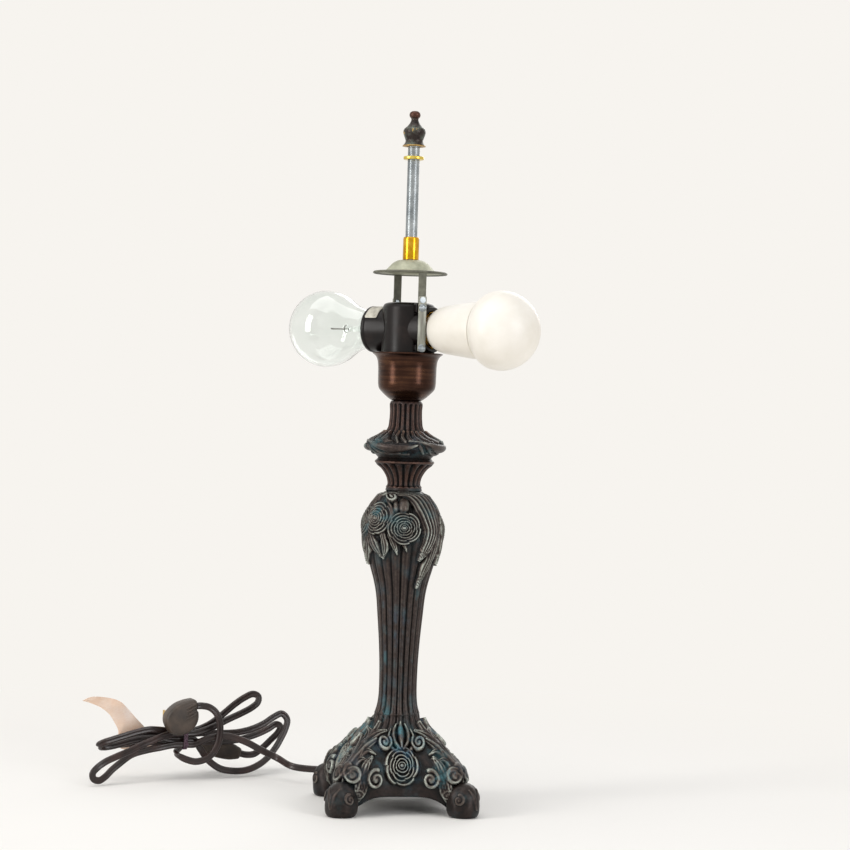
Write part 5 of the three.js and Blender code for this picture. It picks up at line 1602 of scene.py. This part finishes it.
def screw_cap(kind, inset, matrix):
    """A thin shell with a rolled round thread outside and inside."""
    rows, segments = 60, 72
    points = []
    for wall in (0.0, -0.4):
        for i in range(rows):
            s = 16.9 + (34.5 - 16.9) * i / (rows - 1)
            start = min(1, (s - 16.9) / 1.2) ** 0.5 if s > 16.9 else 0
            for k in range(segments):
                a = 2 * math.pi * k / segments
                wave = math.sin(2 * math.pi * (s / EDISON_PITCH) - a)
                fade = min(1, max(0, (s - 17.8) / 2)) * min(1, max(0, (32.8 - s) / 1.5))
                r = 12.5 - 1.6 * (1 - start) + 0.55 * wave * fade + wall
                points.append((r * math.cos(a), r * math.sin(a), s - inset))
    faces = grid_faces(rows, segments) + grid_faces(rows, segments, rows * segments)
    for row in (0, rows - 1):
        for k in range(segments):
            a, b = row * segments + k, row * segments + (k + 1) % segments
            faces.append([a, b, b + rows * segments, a + rows * segments])
    return outward(piece(f"{kind}_thread_cap", moved([Vector(p) * MM for p in points], matrix), faces))


nickel = Paint("nickel_screw_cap", Metallic=1.0, Roughness=0.25)
nickel_haze = nickel.noise(150, 5)
nickel.set(Base_Color=nickel.colours(nickel_haze, [(0.3, tone("8d8a80")), (0.7, tone("d2cfc4"))]))
nickel.set(Roughness=(nickel_haze * 0.3 + 0.12).clamped())
nickel.bump(nickel.noise(900, 4), 0.08, 0.0002)
black_ring = Paint("black_insulator_glass", Roughness=0.3)
black_ring.set(Base_Color=black_ring.colours(black_ring.noise(200, 4), [
    (0.3, tone("0c0b10")), (0.7, tone("231f2b"))]))
black_ring.bump(black_ring.noise(700, 3), 0.1, 0.0002)
for kind, matrix in OUT.items():
    inset = INSET[kind]
    screw = screw_cap(kind, inset, matrix)
    dress(screw, nickel, f"{kind}_bulb", "nickel", f"{kind}_bulb_screw_cap")
    cone = [(r, s - inset) for r, s in ((0, 12.3), (6, 12.3), (11.2, 15.8), (11.2, 16.4), (0, 16.4))]
    insulator = lathe(f"{kind}_glass_insulator", cone, 0.3, 72, matrix)
    dress(insulator, black_ring, f"{kind}_bulb", "black_insulator", f"{kind}_bulb_insulator")
    button = [(r, s - inset) for r, s in ((0, 9.6), (3.2, 9.6), (4.6, 10.4), (4.6, 12), (0, 12))]
    tip = lathe(f"{kind}_solder_tip", button, 0.5, 48, matrix)
    dress(tip, steel, f"{kind}_tip", "steel", f"{kind}_bulb_contact_tip")
print("screw caps dressed")

# %% [markdown]
# The white bulb's housing widens towards the globe, and a narrow step parts the two.

# %% White bulb
housing = lathe("white_bulb_housing", [
    (0, 24.4), (12.6, 24.4), (14.8, 26), (16.8, 29.8), (18.2, 34.6), (19.5, 44), (20.6, 52), (21.6, 60),
    (21.8, 65.4),
    (21.4, 66), (20.7, 66), (20.6, 61.2), (17.6, 61.2), (16.6, 44), (13, 30), (0, 30)], 1.4, 144, OUT["led"],
    4)
milk = Paint("milky_white_plastic", Roughness=0.38)
milk_haze = milk.noise(30, 4)
milk.set(Base_Color=milk.colours(milk_haze, [(0.3, tone("e4ded2")), (0.6, tone("efeae1")),
                                             (0.8, tone("f7f3ec"))]))
milk.set(Roughness=(milk_haze * 0.2 + 0.28).clamped())
milk.bump(milk.noise(500, 3), 0.05, 0.0002)
dress(housing, milk, "led_bulb", "milky_plastic", "led_bulb_housing")
globe_outer = spline_through([(21.8, 66.3), (23.8, 68.3), (26.6, 71.2), (28.9, 75.5), (30, 81), (30, 85.5),
                              (28.8, 91.2), (26, 97.8), (21.4, 103.8), (15.2, 108.7), (8, 111.9), (0, 113)],
                              60)
globe_inner = spline_through([(0, 111.8), (7.6, 110.7), (14.5, 107.6), (20.5, 102.9), (24.9, 97.2),
                              (27.6, 90.8),
                              (28.8, 85.3), (28.8, 81.2), (27.8, 76), (25.7, 72.1), (22.9, 69.2),
                              (20.6, 66.9)], 50)
globe = lathe("milky_globe", [tuple(np.maximum(p, (0, 0))) for p in np.concatenate([globe_outer,
    globe_inner])], 0, 144,
              OUT["led"])
dress(globe, milk, "led_bulb", "milky_plastic", "led_bulb_globe")
print("white bulb dressed")

# %% [markdown]
# The clear bulb's wall is a closed shell with a slight haze. Two bent wires hold a coiled
# filament over a glass stem.

# %% Clear bulb
glass_outer = spline_through([(12.2, 24), (12.2, 35), (14.2, 37.4), (15.6, 41), (18.2, 48), (22, 54.8),
                              (26, 61.2),
                              (28.9, 68.2), (30, 75.5), (29.6, 82), (27, 89.6), (21.8, 97), (14.6, 102.8),
                              (7, 106),
                              (0, 107)], 80)
glass_inner = spline_through([(0, 106.1), (6.7, 105.1), (14.1, 102), (21.1, 96.4), (26.2, 89.2), (28.7, 81.9),
                              (29.1, 75.5), (28, 68.5), (25.2, 61.7), (21.2, 55.2), (17.4, 48.3),
                              (14.8, 41.3),
                              (13.4, 37.8), (11.3, 35.3), (11.3, 24)], 70)
envelope = lathe("clear_glass_envelope",
                 [tuple(np.maximum(p, (0, 0))) for p in np.concatenate([glass_outer, glass_inner])], 0, 144,
                 OUT["clear"])
glass = Paint("clear_bulb_glass", Roughness=0.02, Transmission_Weight=1.0, IOR=1.46)
film = glass.noise(24, 5)
glass.set(Base_Color=glass.colours(film, [(0.3, tone("f0f4f2")), (0.7, tone("fbfdfc"))]))
glass.set(Roughness=(film.ramp(0.55, 0.9) * 0.12 + 0.01).clamped())
glass.bump(glass.noise(16, 2), 0.02, 0.0004)
dress(envelope, glass, "clear_bulb", "clear_glass", "clear_bulb_glass")
stem_line = spline_through([(9.5, 25.1), (6, 31), (3.6, 38), (2.2, 46), (2.2, 56), (3.2, 58), (1.6, 59.6),
                            (0, 60)], 40)
stem = lathe("glass_stem", [(0, 25)] + [tuple(np.maximum(p, (0, 0))) for p in stem_line], 0, 64, OUT["clear"])
dress(stem, glass, "clear_bulb", "clear_glass", "clear_bulb_stem")


def wire(points, radius, sides=10):
    line, _ = smooth_line([Vector(p) for p in points], 0.5)
    section = [(radius * math.cos(2 * math.pi * k / sides), radius * math.sin(2 * math.pi * k / sides))
               for k in range(sides)]
    across = Vector((0, 1, 0.02)).normalized()
    frames = []
    for i in range(len(line)):
        tangent = (line[min(i + 1, len(line) - 1)] - line[max(i - 1, 0)]).normalized()
        wide = (across - tangent * across.dot(tangent)).normalized()
        frames.append((tangent, wide))
    return swept(line, frames, section)


wire_points, wire_faces = [], []
for side in (-1, 1):
    leads = [(0.9 * side, 0, 57.5), (1.8 * side, 0, 61), (5 * side, 0, 63.5), (7.6 * side, 0, 66.5)]
    made_points, made_faces = wire(leads, 0.28)
    wire_faces += [[v + len(wire_points) for v in face] for face in made_faces]
    wire_points += made_points
COILS = 26
coil = []
for k in range(COILS * 8 + 1):
    t = k / (COILS * 8)
    a = 2 * math.pi * k / 8
    x = -7.6 + 15.2 * t
    coil.append((x, 0.5 * math.cos(a), 66.5 + 4.2 * math.sin(math.pi * t) ** 0.8 + 0.5 * math.sin(a)))
made_points, made_faces = wire(coil, 0.13, 6)
wire_faces += [[v + len(wire_points) for v in face] for face in made_faces]
wire_points += made_points
filament = outward(piece("filament_and_leads", moved(wire_points, OUT["clear"]), wire_faces))
tungsten = Paint("tungsten_wire", Metallic=1.0, Roughness=0.35)
tungsten.set(Base_Color=tungsten.colours(tungsten.noise(500, 3),
                                         [(0.3, tone("4b4945")), (0.7, tone("8f8a80"))]))
dress(filament, tungsten, "clear_bulb", "tungsten", "clear_bulb_filament")
print("clear bulb dressed", len(filament.data.polygons), "faces")

# %% [markdown]
# The finial is a small turned knob of dark bronze that is rubbed grey-green, with flecks of gold
# round its middle and foot and a copper-brown top. It screws down the shade rod on a brass insert.

# %% Finial
finial_line = spline_through([(8.8, 508.2), (8.3, 508.8), (7.2, 510.2), (6.7, 512), (7.8, 515.4),
                              (8.7, 518.8),
                              (8.0, 521), (5.8, 523), (4.0, 525.2), (2.9, 527.6), (2.8, 529), (3.9, 530.4),
                              (4.3, 532), (3.7, 533.8), (2.2, 534.8), (0, 535)], 90)
finial_outline = [(0, 521), (5.2, 521), (5.2, 514.6), (6.3, 514.6), (6.3, 507.7), (9.0, 507.7)]
finial_outline += [tuple(np.maximum(p, (0, 0))) for p in finial_line]
finial = lathe("turned_finial", finial_outline, 0, 112)
weathered = Paint("weathered_finial", Metallic=0.7, Roughness=0.4)
gold = weathered.noise(170, 6)
moss = weathered.noise(95, 6)
up_finial = weathered.node("ShaderNodeSeparateXYZ", {}, [weathered.place()], 2)
dark_tone = weathered.colours(gold, [
    (0.3, tone("120e0d")), (0.48, tone("332b28")), (0.62, tone("4c5049")), (0.8, tone("7d8a80"))])
girdle = up_finial.ramp(0.516, 0.518) * (1.0 - up_finial.ramp(0.5195, 0.5215)) * gold.ramp(0.6, 0.66)
gilded = weathered.mix((girdle + up_finial.ramp(0.5088, 0.5082) * 0.6).clamped(), dark_tone, tone("c9a050"))
copper_top = up_finial.ramp(0.5285, 0.5305) * (moss * 0.8 + 0.35)
weathered.set(Base_Color=weathered.mix(copper_top.clamped(), gilded, tone("4d2b1e")))
weathered.set(Roughness=(gold * 0.35 + 0.2).clamped())
weathered.bump(weathered.noise(650, 5), 0.25, 0.0003)
dress(finial, weathered, "finial", "finial_bronze", "finial")
repaint(brass, "finial_insert")
print("finial dressed")

# %% [markdown]
# The cord leaves the base through a moulded bushing that tapers along the cord and is ribbed
# so that it can bend. What stays hidden inside keeps its CAD form with the same finishes.

# %% Bushing and hidden parts
bushing_line = [(3.0, 36), (5.2, 36), (5.2, 46.2), (7.4, 46.2), (7.4, 48.6), (5.6, 49.4)]
for k in range(5):
    y = 50.2 + k * 1.75
    shrink = k * 0.2
    bushing_line += [(5.4 - shrink, y), (5.4 - shrink, y + 0.9), (4.7 - shrink, y + 1.2),
                     (4.7 - shrink, y + 1.6)]
bushing_line += [(4.2, 59.4), (3.0, 59.4)]
turn_back = Matrix.Translation((0, 0, 24 * MM)) @ Matrix.Rotation(-math.pi / 2, 4, "X")
bushing = lathe("ribbed_bushing", bushing_line, 0.3, 72, turn_back)
dress(bushing, olive_mould, "lamp", "olive_plug", "cord_bushing")
repaint(steel, "centre_pipe", "base_washer", "base_locknut", "cup_locknut", "led_bulb_board", "switch_pin")
repaint(brass, "dome_locknut", "screw_shell_led", "screw_shell_clear", "centre_contact_led",
        "centre_contact_clear")
print("hidden parts painted")

# %% [markdown]
# The lamp was photographed on a plain off-white sweep. Tall soft lights stand at the left and,
# a little weaker, at the right, with a broad one above and a faint one behind. The
# floor is a wide disc that fades into the background's colour with distance, so that the
# contact shadow stays and no horizon shows. The world is that colour for the camera.

# %% Stage and light
BACKDROP = tone("f7f4ef")
floor_points = [(0, 0, 0)] + [(6 * math.cos(a * math.pi / 48), 6 * math.sin(a * math.pi / 48),
                               0) for a in range(96)]
floor_faces = [[0, 1 + k, 1 + (k + 1) % 96] for k in range(96)]
floor = piece("studio_floor", floor_points, floor_faces, smooth=False)
cloth_white = Paint("off_white_floor", Roughness=0.9)
cloth_white.set(Base_Color=BACKDROP)
place = cloth_white.place()
distance = cloth_white.node("ShaderNodeVectorMath", {"operation": "LENGTH"}, [place], 1)
glow = cloth_white.node("ShaderNodeEmission", {}, {"Color": BACKDROP, "Strength": 1.0})
far_mix = cloth_white.node("ShaderNodeMixShader", {}, {0: distance.ramp(0.14, 0.75), 2: glow})
cloth_white.tree.links.new(cloth_white.shader.outputs[0], far_mix.socket.node.inputs[1])
out_node = cloth_white.tree.nodes["Material Output"]
cloth_white.tree.links.new(far_mix.socket, out_node.inputs[0])
floor.data.materials.append(cloth_white.material)

world = bpy.data.worlds.new("studio")
bpy.context.scene.world = world
world.use_nodes = True
nodes, links = world.node_tree.nodes, world.node_tree.links
sky = nodes["Background"]
sky.inputs[0].default_value = (0.95, 0.97, 1.0, 1)
sky.inputs[1].default_value = 0.42
seen = nodes.new("ShaderNodeBackground")
seen.inputs[0].default_value = (*BACKDROP, 1)
ray = nodes.new("ShaderNodeLightPath")
either = nodes.new("ShaderNodeMath")
either.operation = "MAXIMUM"
links.new(ray.outputs["Is Camera Ray"], either.inputs[0])
links.new(ray.outputs["Is Transmission Ray"], either.inputs[1])
every = nodes.new("ShaderNodeMath")
every.operation = "MAXIMUM"
links.new(either.outputs[0], every.inputs[0])
links.new(ray.outputs["Is Glossy Ray"], every.inputs[1])
blend = nodes.new("ShaderNodeMixShader")
links.new(every.outputs[0], blend.inputs[0])
links.new(sky.outputs[0], blend.inputs[1])
links.new(seen.outputs[0], blend.inputs[2])
links.new(blend.outputs[0], nodes["World Output"].inputs[0])


def area_light(name, where, target, size, power, tint=(1.0, 1.0, 1.0)):
    data = bpy.data.lights.new(name, "AREA")
    data.shape = "RECTANGLE"
    data.size, data.size_y = size
    data.energy = power
    data.color = tint
    light = bpy.data.objects.new(name, data)
    light.location = where
    light.rotation_euler = (Vector(target) - Vector(where)).to_track_quat("-Z", "Y").to_euler()
    bpy.context.collection.objects.link(light)


area_light("left_strip", (-1.85, -0.75, 0.75), (0, 0, 0.3), (0.55, 1.7), 22, (1.0, 0.99, 0.97))
area_light("right_strip", (1.3, -1.6, 0.7), (0, 0, 0.3), (0.5, 1.6), 17, (0.98, 0.98, 1.0))
area_light("top_soft", (-0.3, -0.2, 2.2), (0, 0, 0.2), (1.8, 1.8), 19)
area_light("rim_back", (0.9, 1.8, 1.2), (0, 0, 0.3), (1.0, 1.2), 8)
print("stage ready")
